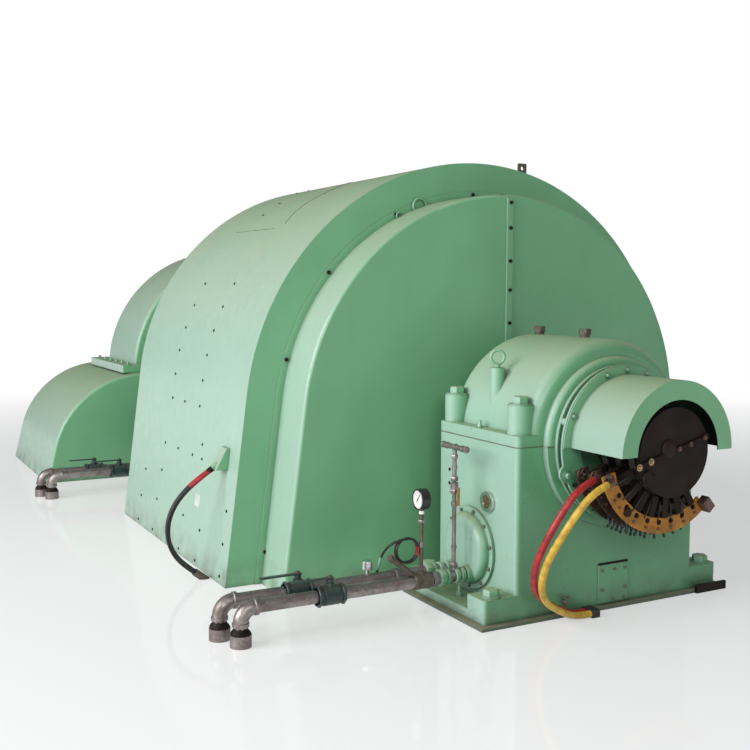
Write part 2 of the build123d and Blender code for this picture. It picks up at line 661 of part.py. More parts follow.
outline = [
    Polyline((-wall_top_x, wall_top_z), (-casing_foot_x, 0), (casing_foot_x, 0), (wall_top_x, wall_top_z)),
    ThreePointArc((wall_top_x, wall_top_z), (mid_x, mid_z), (shoulder_x, LOWER_HEIGHT)),
    Line((shoulder_x, LOWER_HEIGHT), (-shoulder_x, LOWER_HEIGHT)),
    ThreePointArc((-shoulder_x, LOWER_HEIGHT), (-mid_x, mid_z), (-wall_top_x, wall_top_z)),
]
lower = Pos(0, turbine_back, 0) * extrude(Plane.XZ * make_face(outline), amount=turbine_back - turbine_front)
front_rim = lower.faces().sort_by(Axis.Y)[0].edges().sort_by(Axis.Z)[1:]
add("turbine_lower_casing", fillet(front_rim, LOWER_EDGE_R) - turbine_way)
half_split = SPLIT_DEPTH / 2
split = block(
    -SPLIT_WIDTH / 2, SPLIT_WIDTH / 2, TURBINE_Y - half_split, TURBINE_Y + half_split, LOWER_HEIGHT, split_top
)
add("turbine_split_flange", split - turbine_way)
upper = y_cylinder(UPPER_R, upper_front, upper_back)
upper = fillet(upper.edges().filter_by(GeomType.CIRCLE), UPPER_EDGE_R)
add("turbine_upper_casing", upper - below_split - turbine_way)
housing = y_ring(TURBINE_SEAL_R, JOURNAL_R + SHAFT_SEAL_GAP, turbine_front, upper_front)
housing -= block(-far, far, turbine_front, upper_front, -far, LOWER_HEIGHT)
add("turbine_shaft_housing", housing - split)

# Oil pipes with their ball valves, levers and floor unions


def oil_pipe(y, drop_x, start_x):
    """Pipe from the sump cover out along -X and down to the floor union."""
    points = [(start_x, y, PIPE_Z), (drop_x, y, PIPE_Z), (drop_x, y, UNION_HEIGHT)]
    path = FilletPolyline(*points, radius=PIPE_BEND_R)
    return sweep(Plane(origin=(start_x, y, PIPE_Z), z_dir=(-1, 0, 0)) * Circle(PIPE_R), path=path)


def valve_body(x, y):
    """Ball valve body round the pipe, with hexagonal ends, a neck and a stem."""
    half = VALVE_LENGTH / 2
    body = x_cylinder(VALVE_BODY_R, x - half + VALVE_HEX_LENGTH, x + half - VALVE_HEX_LENGTH, y, PIPE_Z)
    for low in (x - half, x + half - VALVE_HEX_LENGTH):
        end = Plane(origin=(low, y, PIPE_Z), z_dir=(1, 0, 0)) * RegularPolygon(VALVE_HEX_R, 6)
        body += extrude(end, amount=VALVE_HEX_LENGTH)
    body += z_cylinder(VALVE_NECK_R, PIPE_Z, PIPE_Z + VALVE_NECK_TOP, x, y)
    body += z_cylinder(STEM_R, PIPE_Z, PIPE_Z + STEM_TOP, x, y)
    return body - x_cylinder(PIPE_R, x - half, x + half, y, PIPE_Z)


def lever(x, y):
    """Flat lever along the pipe, turning on the valve stem."""
    low = PIPE_Z + VALVE_NECK_TOP + TOUCH_GAP
    half = LEVER_WIDTH / 2
    handle = block(x - LEVER_LENGTH, x + LEVER_TAIL, y - half, y + half, low, low + LEVER_THICKNESS)
    return handle - z_cylinder(STEM_R + BEARING_CLEARANCE, low, low + LEVER_THICKNESS, x, y)


pipe_start_x = wall_x - SPIGOT_LENGTH
valves = []
unions = []
pipe_reaches = {
    "front": (0, (FRONT_NEAR_DROP, FRONT_FAR_DROP), (FRONT_NEAR_VALVE, FRONT_FAR_VALVE)),
    "rear": (REAR, (REAR_NEAR_DROP, REAR_FAR_DROP), (REAR_NEAR_VALVE, REAR_FAR_VALVE)),
}
for place, (shift, drops, valve_reaches) in pipe_reaches.items():
    runs = []
    for row, pipe_y, drop, reach in zip(("near", "far"), PIPE_ROWS, drops, valve_reaches):
        y = pipe_y + shift
        drop_x = wall_x - drop
        valve_x = wall_x - reach
        runs.append(oil_pipe(y, drop_x, pipe_start_x))
        valves.append(valve_body(valve_x, y))
        unions.append(z_cylinder(UNION_R, 0, UNION_HEIGHT, drop_x, y))
        add(f"{place}_{row}_valve_lever", lever(valve_x, y))
    add(f"{place}_oil_pipes", *runs)
add("valve_bodies", *valves)
add("floor_unions", *unions)

# Pressure gauge with its slanted branch, oil cup, and drip line with its small valve
near_pipe = x_cylinder(PIPE_R, wall_x - FRONT_NEAR_DROP, pipe_start_x, PIPE_NEAR_Y, PIPE_Z)
far_pipe = x_cylinder(PIPE_R, wall_x - FRONT_FAR_DROP, pipe_start_x, PIPE_FAR_Y, PIPE_Z)
gauge_x = wall_x - GAUGE_REACH
dial = x_cylinder(GAUGE_R, gauge_x - GAUGE_DEPTH / 2, gauge_x + GAUGE_DEPTH / 2, PIPE_NEAR_Y, GAUGE_Z)
gauge_stem = z_cylinder(GAUGE_STEM_R, PIPE_Z, GAUGE_Z, gauge_x, PIPE_NEAR_Y)
rise = math.radians(BRANCH_RISE)
branch_way = Vector(-math.cos(rise), 0, math.sin(rise))
branch_foot = Vector(gauge_x, PIPE_NEAR_Y, PIPE_Z)
cap_foot = branch_foot + branch_way * (BRANCH_LENGTH - BRANCH_CAP_LENGTH)
gauge_stem += extrude(Plane(origin=branch_foot, z_dir=branch_way) * Circle(BRANCH_R), amount=BRANCH_LENGTH)
gauge_stem += extrude(Plane(origin=cap_foot, z_dir=branch_way) * Circle(BRANCH_CAP_R), amount=BRANCH_CAP_LENGTH)
add("gauge_stem", gauge_stem - near_pipe - dial)
add("pressure_gauge", dial)
cup_x = wall_x - CUP_REACH
cup_low = PIPE_Z + PIPE_R + CUP_NECK_HEIGHT
cup = z_cylinder(CUP_R, cup_low, cup_low + CUP_HEIGHT, cup_x, PIPE_FAR_Y)
cup += z_cylinder(CUP_NECK_R, PIPE_Z, cup_low, cup_x, PIPE_FAR_Y)
add("oil_cup", cup - far_pipe)
drip_x = wall_x - DRIP_REACH
drip = z_cylinder(DRIP_R, PIPE_Z, DRIP_TOP, drip_x, PIPE_NEAR_Y)
half_tee = TEE_LENGTH / 2
drip += y_cylinder(TEE_R, PIPE_NEAR_Y - half_tee, PIPE_NEAR_Y + half_tee, drip_x, DRIP_TOP)
valve_low = DRIP_VALVE_Z - DRIP_VALVE_HEIGHT / 2
drip += z_cylinder(DRIP_VALVE_R, valve_low, valve_low + DRIP_VALVE_HEIGHT, drip_x, PIPE_NEAR_Y)
stem_end = PIPE_NEAR_Y - DRIP_STEM_REACH
drip += y_cylinder(DRIP_STEM_R, stem_end, PIPE_NEAR_Y, drip_x, DRIP_VALVE_Z)
add("drip_line", drip - near_pipe)
lever_back = stem_end + DRIP_LEVER_THICKNESS
half_handle = DRIP_LEVER_WIDTH / 2
drip_lever = block(
    drip_x - half_handle,
    drip_x + half_handle,
    stem_end,
    lever_back,
    DRIP_VALVE_Z - DRIP_LEVER_LENGTH,
    DRIP_VALVE_Z + half_handle,
)
drip_lever -= y_cylinder(DRIP_STEM_R + BEARING_CLEARANCE, stem_end, lever_back, drip_x, DRIP_VALVE_Z)
add("drip_valve_lever", drip_lever)

# Leads and cables: straight runs joined by tangent arcs


def cord_tube(points, radius):
    """Tube along a route; each arc is as large as its two runs allow."""
    runs = [b - a for a, b in zip(points, points[1:])]
    radii = []
    for before, after in zip(runs, runs[1:]):
        turn = math.radians(before.get_angle(after))
        radii.append(0.45 * min(before.length, after.length) / math.tan(turn / 2))
    path = FilletPolyline(*points, radius=radii)
    tube = sweep(Plane(origin=points[0], z_dir=runs[0]) * Circle(radius), path=path)
    share = tube.volume / (math.pi * radius**2 * path.length)
    print("cord of", round(path.length), "mm, volume share", round(share, 5), "radii", [round(r) for r in radii])
    return tube


add("red_lead", cord_tube([Vector(*point) for point in RED_ROUTE], LEAD_R))
add("yellow_lead", cord_tube([Vector(*point) for point in YELLOW_ROUTE], LEAD_R))
bush_x = RED_ROUTE[-1][0] + BUSH_SIZE[0] / 2
add("lead_floor_bush", Pos(bush_x, BUSH_Y, BUSH_SIZE[2] / 2) * Box(*BUSH_SIZE))
add("power_cables", cord_tube([Vector(*point) for point in POWER_ROUTE], POWER_CABLE_R))
cable_end = Vector(*POWER_ROUTE[-1])
conduit = Plane(origin=cable_end, z_dir=cable_end - Vector(*POWER_ROUTE[-2])) * Circle(CONDUIT_R)
conduit = extrude(conduit, amount=2 * cable_end.Z)
below_floor = block(-far, 0, 0, far, -far, 0)
add("power_cable_conduit", conduit - below_floor)

# Sensor cable: a coil that rests on the slanted branch against the gauge stem, and its loose end
coil_outer_r = COIL_R + SENSOR_CABLE_R
coil_x = gauge_x - GAUGE_STEM_R - coil_outer_r
nook = BRANCH_R + coil_outer_r + (GAUGE_STEM_R + coil_outer_r) * math.sin(rise)
coil_z = PIPE_Z + nook / math.cos(rise)
coil_section = Pos(COIL_R, 0) * Circle(SENSOR_CABLE_R)
coil = revolve(Plane.XZ * coil_section, Axis.Z, 360 - COIL_GAP_ANGLE)
coil_place = Pos(coil_x, PIPE_NEAR_Y, coil_z) * Rot(-90, 0, 0) * Rot(0, 0, -90)
add("sensor_cable_coil", coil_place * coil)
coil_top = Vector(coil_x, PIPE_NEAR_Y, coil_z + COIL_R)
sensor_points = [coil_top] + [coil_top + Vector(*step) for step in SENSOR_ROUTE]
add("sensor_cable", cord_tube(sensor_points, SENSOR_CABLE_R))

os.makedirs("parts", exist_ok=True)
for name, shape in parts.items():
    export_step(shape, f"parts/{name}.step")
print(len(parts), "pieces written")
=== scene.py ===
"""Looks of a horizontal turbine and generator set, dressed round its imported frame.

Lengths are metres. The shaft lies along Y, the slip-ring end points to -Y and the floor is at Z = 0.
"""

import json
import math

import bmesh
import bpy
from mathutils import Matrix, Vector


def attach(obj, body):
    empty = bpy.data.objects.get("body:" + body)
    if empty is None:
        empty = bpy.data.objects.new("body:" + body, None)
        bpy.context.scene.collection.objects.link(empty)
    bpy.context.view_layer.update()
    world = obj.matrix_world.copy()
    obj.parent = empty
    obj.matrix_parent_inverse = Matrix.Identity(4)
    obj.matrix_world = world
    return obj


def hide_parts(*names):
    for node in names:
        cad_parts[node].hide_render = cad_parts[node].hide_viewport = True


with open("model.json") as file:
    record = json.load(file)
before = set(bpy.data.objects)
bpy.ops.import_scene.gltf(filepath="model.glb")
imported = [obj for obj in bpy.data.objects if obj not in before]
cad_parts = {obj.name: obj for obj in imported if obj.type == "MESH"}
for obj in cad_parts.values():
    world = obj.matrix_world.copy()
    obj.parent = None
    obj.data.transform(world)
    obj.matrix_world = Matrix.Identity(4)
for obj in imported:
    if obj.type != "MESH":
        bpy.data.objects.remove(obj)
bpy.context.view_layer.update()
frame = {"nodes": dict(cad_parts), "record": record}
CASING = "casing"
ROTOR = "rotor"
SHAFT_Z = 0.825
PEDESTAL_SHIFTS = (0.0, 3.6)
HOOD_R = 1.446
HOOD_FLARE = 7.3
HOOD_MIDDLE_Y = 1.836
BELL_FLANGE_Y = 0.828
STRAP_FRONT_Y = 0.532
FOOT_LUG_TOP = 0.128
CAP_BOSS_TOP = 1.017
COVER_BOLT_R = 0.1905
RING_YS = (-0.505, -0.595, -0.685)
HOLDER_COUNT = 7
PIPE_Z = 0.168
PIPE_BEND_R = 0.064
FRONT_PIPE_Y = -0.012
GAUGE_X = -0.885
DRIP_X = -0.702
UP = (0, 0, 1)
DOWN = (0, 0, -1)
FRONT = (0, -1, 0)
BACK = (0, 1, 0)
EAST = (1, 0, 0)
WEST = (-1, 0, 0)


# Camera, matched to the photograph's viewing point


def add_camera():
    data = bpy.data.cameras.new("camera")
    data.lens = 49.14
    data.sensor_width = 36
    camera = bpy.data.objects.new("camera", data)
    yaw, pitch, roll = 0.4954, -0.0855, 0.0032
    level = math.cos(pitch)
    ahead = Vector((math.sin(yaw) * level, math.cos(yaw) * level, math.sin(pitch)))
    rolled = Matrix.Rotation(roll, 3, "Z").to_quaternion()
    camera.rotation_mode = "QUATERNION"
    camera.rotation_quaternion = ahead.to_track_quat("-Z", "Y") @ rolled
    camera.location = (-3.356, -4.1146, 1.563)
    bpy.context.scene.collection.objects.link(camera)
    bpy.context.scene.camera = camera


# Materials


class Graph:
    """Nodes of one material. Inputs are values or the sockets of other nodes."""

    def __init__(self, name):
        self.material = bpy.data.materials.new(name)
        self.material.use_nodes = True
        self.tree = self.material.node_tree
        self.shader = self.tree.nodes["Principled BSDF"]
        self.coords = self.node("TexCoord").outputs["Object"]
        self.normal = self.node("NewGeometry").outputs["Normal"]

    def node(self, kind, inputs=None, **settings):
        made = self.tree.nodes.new("ShaderNode" + kind)
        for key, value in settings.items():
            setattr(made, key, value)
        self.feed(made, inputs or {})
        return made

    def feed(self, made, inputs):
        for key, value in inputs.items():
            if isinstance(value, bpy.types.NodeSocket):
                self.tree.links.new(value, made.inputs[key])
            else:
                made.inputs[key].default_value = value

    def math(self, operation, a, b=0.0):
        return self.node("Math", {0: a, 1: b}, operation=operation).outputs[0]

    def vector(self, operation, a, b):
        return self.node("VectorMath", {0: a, 1: b}, operation=operation)

    def ramp(self, value, low, high, start=0.0, end=1.0):
        """Maps low..high to start..end, clamped."""
        inputs = {"Value": value, "From Min": low, "From Max": high, "To Min": start, "To Max": end}
        return self.node("MapRange", inputs).outputs[0]

    def mix(self, factor, a, b):
        made = self.node("Mix", {0: factor}, data_type="RGBA")
        for index, colour in ((6, a), (7, b)):
            value = colour if isinstance(colour, bpy.types.NodeSocket) else (*colour, 1.0)
            self.feed(made, {index: value})
        return made.outputs[2]

    def scaled(self, factors):
        return self.node("Mapping", {"Vector": self.coords, "Scale": factors}).outputs[0]

    def noise(self, scale, detail=3.0, vector=None, distortion=0.0):
        inputs = {"Vector": vector or self.coords, "Scale": scale, "Detail": detail, "Distortion": distortion}
        return self.node("TexNoise", inputs).outputs[0]

    def part(self, vector, axis):
        return self.node("SeparateXYZ", {0: vector}).outputs[axis]

    def crevice(self, distance, inside=False):
        """1 in corners and beside neighbours, 0 in the open."""
        made = self.node("AmbientOcclusion", {"Distance": distance}, samples=6, inside=inside)
        return self.math("SUBTRACT", 1.0, made.outputs["AO"])

    def bump(self, height, strength, distance, normal=None):
        inputs = {"Height": height, "Strength": strength, "Distance": distance}
        if normal is not None:
            inputs["Normal"] = normal
        return self.node("Bump", inputs).outputs[0]

    def finish(self, **inputs):
        names = {"colour": "Base Color", "coat": "Coat Weight", "specular": "Specular IOR Level"}
        for key, value in inputs.items():
            name = names.get(key, key.replace("_", " ").title())
            if key == "colour" and not isinstance(value, bpy.types.NodeSocket):
                value = (*value, 1.0)
            self.feed(self.shader, {name: value})
        return self.material


# Dark green of the painted shade on low faces turned to the front.
FRONT_SHADE_GREEN = (0.012, 0.11, 0.035)
# Brown of a dusty film on upward faces, also a painted reflection of the room on them.
DUST_AND_REFLECTION_BROWN = (0.36, 0.29, 0.18)
FLOOR_DIRT = (0.10, 0.11, 0.07)
CORNER_SHADE = (0.045, 0.06, 0.04)
INWARD_FACE_BLACK = (0.008, 0.009, 0.007)


def paint(name, colour, dents=0.0, cast=0.0, dust_and_reflection=0.35, edge=0.003, roughness=0.32, front_shade=0.0, inside=False):
    """Aged machine enamel: faded, streaked, dusty and browned on top with a painted reflection there, dirty
    along the floor; painted light on faces turned to -X, painted shade on low front faces and in corners;
    faces turned to the shaft painted near black where asked.
    """
    g = Graph(name)
    up = g.part(g.normal, "Z")
    height = g.part(g.coords, "Z")
    fade = g.ramp(g.noise(1.1, 3.0), 0.3, 0.7)
    body = g.mix(fade, [c * 0.9 for c in colour], [min(1.0, c * 1.1) for c in colour])
    mottle = g.ramp(g.noise(7.0, 5.0, distortion=0.6), 0.45, 0.8, 0.0, 0.14)
    body = g.mix(mottle, body, [c * 0.75 for c in colour])
    streaks = g.ramp(g.noise(3.0, 3.0, g.scaled((3.0, 3.0, 0.3))), 0.5, 0.85, 0.0, 0.16)
    body = g.mix(streaks, body, (colour[0] * 0.8, colour[1] * 0.75, colour[2] * 0.68))
    # Painted light: faces turned to -X, towards the key lamp, are painted paler and less saturated, as the
    # lit side.
    painted_lit_side = g.ramp(g.part(g.normal, "X"), -0.2, -0.9, 0.0, 0.78)
    body = g.mix(painted_lit_side, body, (colour[0] * 1.9, colour[1] * 1.08, colour[2] * 1.73))
    # Painted shade: faces turned to -Y are darkened towards this green, more towards the floor, as the shaded
    # front.
    facing = g.ramp(g.part(g.normal, "Y"), -0.4, -0.95)
    front_shade_mask = g.math("MULTIPLY", facing, g.ramp(height, 1.15, 0.45, 0.35, 1.0))
    body = g.mix(g.math("MULTIPLY", front_shade_mask, front_shade), body, FRONT_SHADE_GREEN)
    # Upward faces are browned: a dusty film, and a painted reflection of the brown room above them.
    patchy = g.ramp(g.noise(3.0, 5.0), 0.25, 0.7, 0.55, 1.0)
    dust_and_reflection_mask = g.math("MULTIPLY", g.ramp(up, 0.25, 0.95, 0.0, dust_and_reflection), patchy)
    body = g.mix(dust_and_reflection_mask, body, DUST_AND_REFLECTION_BROWN)
    low = g.math("MULTIPLY", g.ramp(height, 0.16, 0.0), g.ramp(g.noise(9.0, 6.0), 0.35, 0.65))
    body = g.mix(g.math("MULTIPLY", low, 0.7), body, FLOOR_DIRT)
    # Painted shade: darker in corners and beside neighbouring parts.
    corner = g.ramp(g.crevice(0.05), 0.25, 0.9, 0.0, 0.75)
    body = g.mix(corner, body, CORNER_SHADE)
    # Faces turned towards the shaft are painted near black.
    if inside:
        from_shaft = g.vector("SUBTRACT", g.coords, (0.0, 0.0, SHAFT_Z)).outputs[0]
        flat = g.vector("MULTIPLY", from_shaft, (1.0, 0.0, 1.0)).outputs[0]
        outward = g.vector("DOT_PRODUCT", flat, g.normal).outputs["Value"]
        body = g.mix(g.ramp(outward, -0.05, -0.12), body, INWARD_FACE_BLACK)
    rounded = g.node("Bevel", {"Radius": edge}, samples=4).outputs[0]
    waves = g.bump(g.noise(2.3, 1.0), dents, 0.05, rounded)
    grain = g.bump(g.noise(55.0, 4.0), cast, 0.004, waves)
    peel = g.bump(g.noise(420.0, 2.0), 0.06, 0.001, grain)
    rough = g.math("ADD", g.ramp(g.noise(17.0, 6.0), 0.3, 0.75, roughness - 0.07, roughness + 0.13), dust_and_reflection_mask)
    return g.finish(colour=body, roughness=rough, normal=peel, coat=0.15, coat_roughness=0.22)


def bare_metal(name, colour, tint, roughness=0.35, grain=12.0, stain=0.5, metallic=1.0):
    """Metal with stains of a second colour, and painted shade in its corners."""
    g = Graph(name)
    spots = g.ramp(g.noise(grain, 7.0, distortion=0.8), 0.42, 0.68, 0.0, stain)
    body = g.mix(spots, colour, tint)
    fine = g.ramp(g.noise(grain * 9, 5.0), 0.4, 0.7, 0.0, 0.35)
    body = g.mix(fine, body, [c * 0.45 for c in tint])
    # Painted shade: darker in corners and beside neighbouring parts.
    body = g.mix(g.ramp(g.crevice(0.02), 0.3, 0.9, 0.0, 0.8), body, [c * 0.25 for c in tint])
    rounded = g.node("Bevel", {"Radius": 0.0015}, samples=4).outputs[0]
    normal = g.bump(g.noise(grain * 22, 4.0), 0.25, 0.001, rounded)
    rough = g.ramp(g.noise(grain * 3, 5.0), 0.3, 0.7, roughness * 0.75, min(1.0, roughness * 1.4))
    shine = g.ramp(spots, 0.0, 1.0, metallic, metallic * 0.35)
    return g.finish(colour=body, roughness=rough, metallic=shine, normal=normal)


def plain(name, colour, roughness=0.5, variation=0.25, grain=30.0, bump=0.12, sheen=0.0, specular=0.5):
    """Plastic, rubber, laminate or enamel on small parts: mottled, with painted shade in its corners."""
    g = Graph(name)
    fade = g.ramp(g.noise(grain, 5.0), 0.3, 0.7)
    body = g.mix(fade, [c * (1 - variation) for c in colour], [min(1.0, c * (1 + variation)) for c in colour])
    # Painted shade: darker in corners and beside neighbouring parts.
    body = g.mix(g.ramp(g.crevice(0.02), 0.3, 0.95, 0.0, 0.85), body, [c * 0.12 for c in colour])
    rounded = g.node("Bevel", {"Radius": 0.0012}, samples=4).outputs[0]
    normal = g.bump(g.noise(grain * 12, 4.0), bump, 0.001, rounded)
    rough = g.ramp(g.noise(grain * 2, 4.0), 0.3, 0.7, roughness * 0.8, min(1.0, roughness * 1.25))
    return g.finish(colour=body, roughness=rough, normal=normal, coat=sheen, specular=specular)


def laminate(name, colour, darker_board):
    """Insulating board: the front plate keeps its colour, those behind it are darker, with painted shade in
    corners.
    """
    g = Graph(name)
    fade = g.ramp(g.noise(11.0, 5.0), 0.3, 0.7)
    body = g.mix(fade, [c * 0.55 for c in colour], [c * 1.3 for c in colour])
    body = g.mix(g.ramp(g.noise(45.0, 5.0), 0.6, 0.72, 0.0, 0.7), body, darker_board)
    # Plates behind Y -0.65 take the darker colour.
    body = g.mix(g.ramp(g.part(g.coords, "Y"), -0.66, -0.64), body, darker_board)
    # Painted shade: darker in corners and beside neighbouring parts.
    body = g.mix(g.ramp(g.crevice(0.02), 0.3, 0.95, 0.0, 0.85), body, [c * 0.5 for c in darker_board])
    rounded = g.node("Bevel", {"Radius": 0.0012}, samples=4).outputs[0]
    return g.finish(colour=body, roughness=0.5, normal=g.bump(g.noise(160.0, 4.0), 0.2, 0.001, rounded))


def glass(name, colour):
    """Stained glass pane with dark oil behind it."""
    g = Graph(name)
    stain = g.mix(g.ramp(g.noise(60.0), 0.4, 0.7), colour, [c * 0.5 for c in colour])
    return g.finish(colour=stain, roughness=0.05, coat=1.0, coat_roughness=0.02)


GREEN = (0.175, 0.42, 0.225)
MATERIALS = {
    "hood_paint": paint("hood_paint", GREEN, dents=0.3, dust_and_reflection=0.5, edge=0.004, roughness=0.36, front_shade=0.12),
    "casting_paint": paint(
        "casting_paint", (0.175, 0.44, 0.235), cast=0.35, dust_and_reflection=0.5, edge=0.009, roughness=0.34, front_shade=0.42
    ),
    "canopy_paint": paint("canopy_paint", GREEN, dust_and_reflection=0.5, roughness=0.36, front_shade=0.1, inside=True),
    "grout_steel": paint("grout_steel", (0.07, 0.12, 0.07), cast=0.3, dust_and_reflection=0.6, edge=0.002, roughness=0.55),
    "valve_paint": paint("valve_paint", (0.012, 0.034, 0.03), cast=0.4, dust_and_reflection=0.15, roughness=0.4),
    "galvanised_pipe": bare_metal(
        "galvanised_pipe", (0.37, 0.335, 0.32), (0.13, 0.085, 0.075), 0.42, 10.0, 0.75
    ),
    "rusty_steel": bare_metal("rusty_steel", (0.17, 0.14, 0.11), (0.07, 0.045, 0.03), 0.6, 30.0, 0.8, 0.6),
    "bright_steel": bare_metal("bright_steel", (0.75, 0.76, 0.75), (0.4, 0.38, 0.33), 0.16, 40.0, 0.3),
    "shaft_steel": bare_metal("shaft_steel", (0.45, 0.44, 0.42), (0.25, 0.2, 0.16), 0.3, 14.0, 0.4),
    "slip_ring_metal": bare_metal(
        "slip_ring_metal", (0.16, 0.155, 0.15), (0.05, 0.035, 0.03), 0.3, 18.0, 0.6
    ),
    "terminal_metal": bare_metal("terminal_metal", (0.21, 0.14, 0.11), (0.08, 0.045, 0.035), 0.45, 30.0, 0.7),
    "bronze": bare_metal("bronze", (0.5, 0.36, 0.2), (0.25, 0.17, 0.1), 0.4, 20.0, 0.4),
    "dark_insulation": plain("dark_insulation", (0.02, 0.01, 0.007), 0.55, specular=0.2),
    "dark_steel": plain("dark_steel", (0.013, 0.0075, 0.0055), 0.55, 0.5, 9.0, specular=0.18),
    "orange_insulation": laminate("orange_insulation", (0.44, 0.18, 0.014), (0.035, 0.015, 0.009)),
    "gauge_black": plain("gauge_black", (0.016, 0.017, 0.018), 0.28, sheen=0.3),
    "lever_yellow": plain("lever_yellow", (0.3, 0.17, 0.05), 0.5, 0.5, 40.0),
    "red_tape": plain("red_tape", (0.32, 0.014, 0.018), 0.4, 0.5, 25.0, 0.3),
    "yellow_tape": plain("yellow_tape", (0.56, 0.35, 0.035), 0.42, 0.3, 25.0, 0.3),
    "black_rubber": plain("black_rubber", (0.014, 0.014, 0.015), 0.5, 0.3, 40.0, 0.2),
    "clear_glass": glass("clear_glass", (0.12, 0.07, 0.03)),
    "pale_tag": plain("pale_tag", (0.5, 0.56, 0.5), 0.4, 0.15, 20.0),
    "white_enamel": plain("white_enamel", (0.78, 0.77, 0.72), 0.35, 0.06, 30.0, 0.05),
}


def dress_cad_nodes():
    slots = {row["node"]: row["material_slot"] for row in frame["record"]["subparts"]}
    for name, node in frame["nodes"].items():
        material = "canopy_paint" if name == "slip_ring_canopy" else slots[name]
        node.data.materials.clear()
        node.data.materials.append(MATERIALS[material])


# Mesh pieces


class Joined:
    """Many small solids joined in one mesh piece."""

    def __init__(self):
        self.mesh = bmesh.new()

    def skin(self, rings, closed=False):
        """Faces from each ring of points to the next, with a lid at both ends unless they close in a loop."""
        rings = [[self.mesh.verts.new(point) for point in ring] for ring in rings]
        pairs = list(zip(rings, rings[1:])) + ([(rings[-1], rings[0])] if closed else [])
        for below, above in pairs:
            for index in range(len(below)):
                after = (index + 1) % len(below)
                self.mesh.faces.new((below[index], below[after], above[after], above[index]))
        if not closed:
            self.mesh.faces.new(list(reversed(rings[0])))
            self.mesh.faces.new(rings[-1])

    def lathe(self, origin, axis, profile, sides, turn=0.0):
        """Solid of revolution about an axis, its profile given as (radius, height) pairs from foot to top."""
        basis = Vector(axis).to_track_quat("Z", "Y").to_matrix()
        rings = []
        for radius, height in profile:
            ring = []
            for index in range(sides):
                angle = turn + 2 * math.pi * index / sides
                local = Vector((radius * math.cos(angle), radius * math.sin(angle), height))
                ring.append(Vector(origin) + basis @ local)
            rings.append(ring)
        self.skin(rings)

    def collar(self, origin, axis, inner, outer, length, bevel, sides, turn=0.0):
        """Sleeve on a pipe: outer radius over the middle, inner radius at both ends, bevels between them."""
        profile = [(inner, 0.0), (outer, bevel), (outer, length - bevel), (inner, length)]
        self.lathe(origin, axis, profile, sides, turn)

    def bolt(self, origin, axis, flats, turn=0.0, washer=True, head=0.65, stud=0.0):
        """Hexagon head with chamfered corners, on a washer, with the stud's end above it where it has one."""
        corner = flats / math.sqrt(3)
        foot = flats * 0.14 if washer else 0.0
        if washer:
            self.lathe(origin, axis, [(flats * 0.95, 0.0), (flats * 0.95, foot), (flats * 0.5, foot)], 20)
        top = foot + head * flats
        rim = flats * 0.08
        self.lathe(origin, axis, [(corner, foot * 0.9), (corner, top - rim), (corner * 0.86, top)], 6, turn)
        if stud:
            r = flats * 0.29
            end = top + stud * flats
            self.lathe(origin, axis, [(r, top * 0.9), (r, end), (r * 0.8, end + 0.002)], 14)

    def box(self, centre, size, turn=None):
        turn = turn or Matrix.Identity(3)
        halves = [(-0.5 * length, 0.5 * length) for length in size]
        corners = [Vector((x, y, z)) for x in halves[0] for y in halves[1] for z in halves[2]]
        verts = [self.mesh.verts.new(Vector(centre) + turn @ corner) for corner in corners]
        for face in ((0, 1, 3, 2), (4, 6, 7, 5), (0, 4, 5, 1), (2, 3, 7, 6), (0, 2, 6, 4), (1, 5, 7, 3)):
            self.mesh.faces.new([verts[index] for index in face])

    def tube(self, points, radius, sides=12, closed=False):
        """Round bar along points."""
        points = [Vector(p) for p in points]
        count = len(points)
        rings = []
        across = None
        for index, point in enumerate(points):
            before = points[index - 1] if index or closed else point
            after = points[(index + 1) % count] if index < count - 1 or closed else point
            ahead = (after - before).normalized()
            if across is None:
                across = ahead.orthogonal().normalized()
            across = (across - ahead * across.dot(ahead)).normalized()
            side = ahead.cross(across)
            ring = []
            for k in range(sides):
                angle = 2 * math.pi * k / sides
                outward = across * math.cos(angle) + side * math.sin(angle)
                ring.append(point + radius * outward)
            rings.append(ring)
        self.skin(rings, closed)

    def piece(self, name, slot, body=CASING, sharp=35.0, material=None, replaced=None):
        bmesh.ops.recalc_face_normals(self.mesh, faces=self.mesh.faces)
        for face in self.mesh.faces:
            face.smooth = True
        for edge in self.mesh.edges:
            edge.smooth = edge.calc_face_angle(0.0) < math.radians(sharp)
        data = bpy.data.meshes.new(name)
        self.mesh.to_mesh(data)
        self.mesh.free()
        made = bpy.data.objects.new(name, data)
        bpy.context.scene.collection.objects.link(made)
        data.materials.append(MATERIALS[material or slot])
        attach(made, body)
        if replaced:
            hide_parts(replaced)
        return made


# Places and repeats


def polar(radius, degrees, y):
    """Point at a radius and angle about the shaft, the angle from +X towards +Z."""
    angle = math.radians(degrees)
    return (radius * math.cos(angle), y, SHAFT_Z + radius * math.sin(angle))


def both_ends(y):
    """A Y at the hood's front and its mirror image at the back, each with the way that it faces."""
    return ((y, -1), (2 * HOOD_MIDDLE_Y - y, 1))


def hood_skin(y, angle=None, z=None, side=-1):
    """Point and outward direction on the hood, by angle above its side or by height on its straight wall."""
    flare = math.radians(HOOD_FLARE)
    if angle is not None and angle > HOOD_FLARE:
        turn = math.radians(angle)
        out = Vector((side * math.cos(turn), 0.0, math.sin(turn)))
        return Vector((0.0, y, SHAFT_Z)) + HOOD_R * out, out
    if z is None:
        z = SHAFT_Z + HOOD_R * math.sin(math.radians(angle))
    x = HOOD_R * math.cos(flare) + (SHAFT_Z + HOOD_R * math.sin(flare) - z) * math.tan(flare)
    return Vector((side * x, y, z)), Vector((side * math.cos(flare), 0.0, math.sin(flare)))


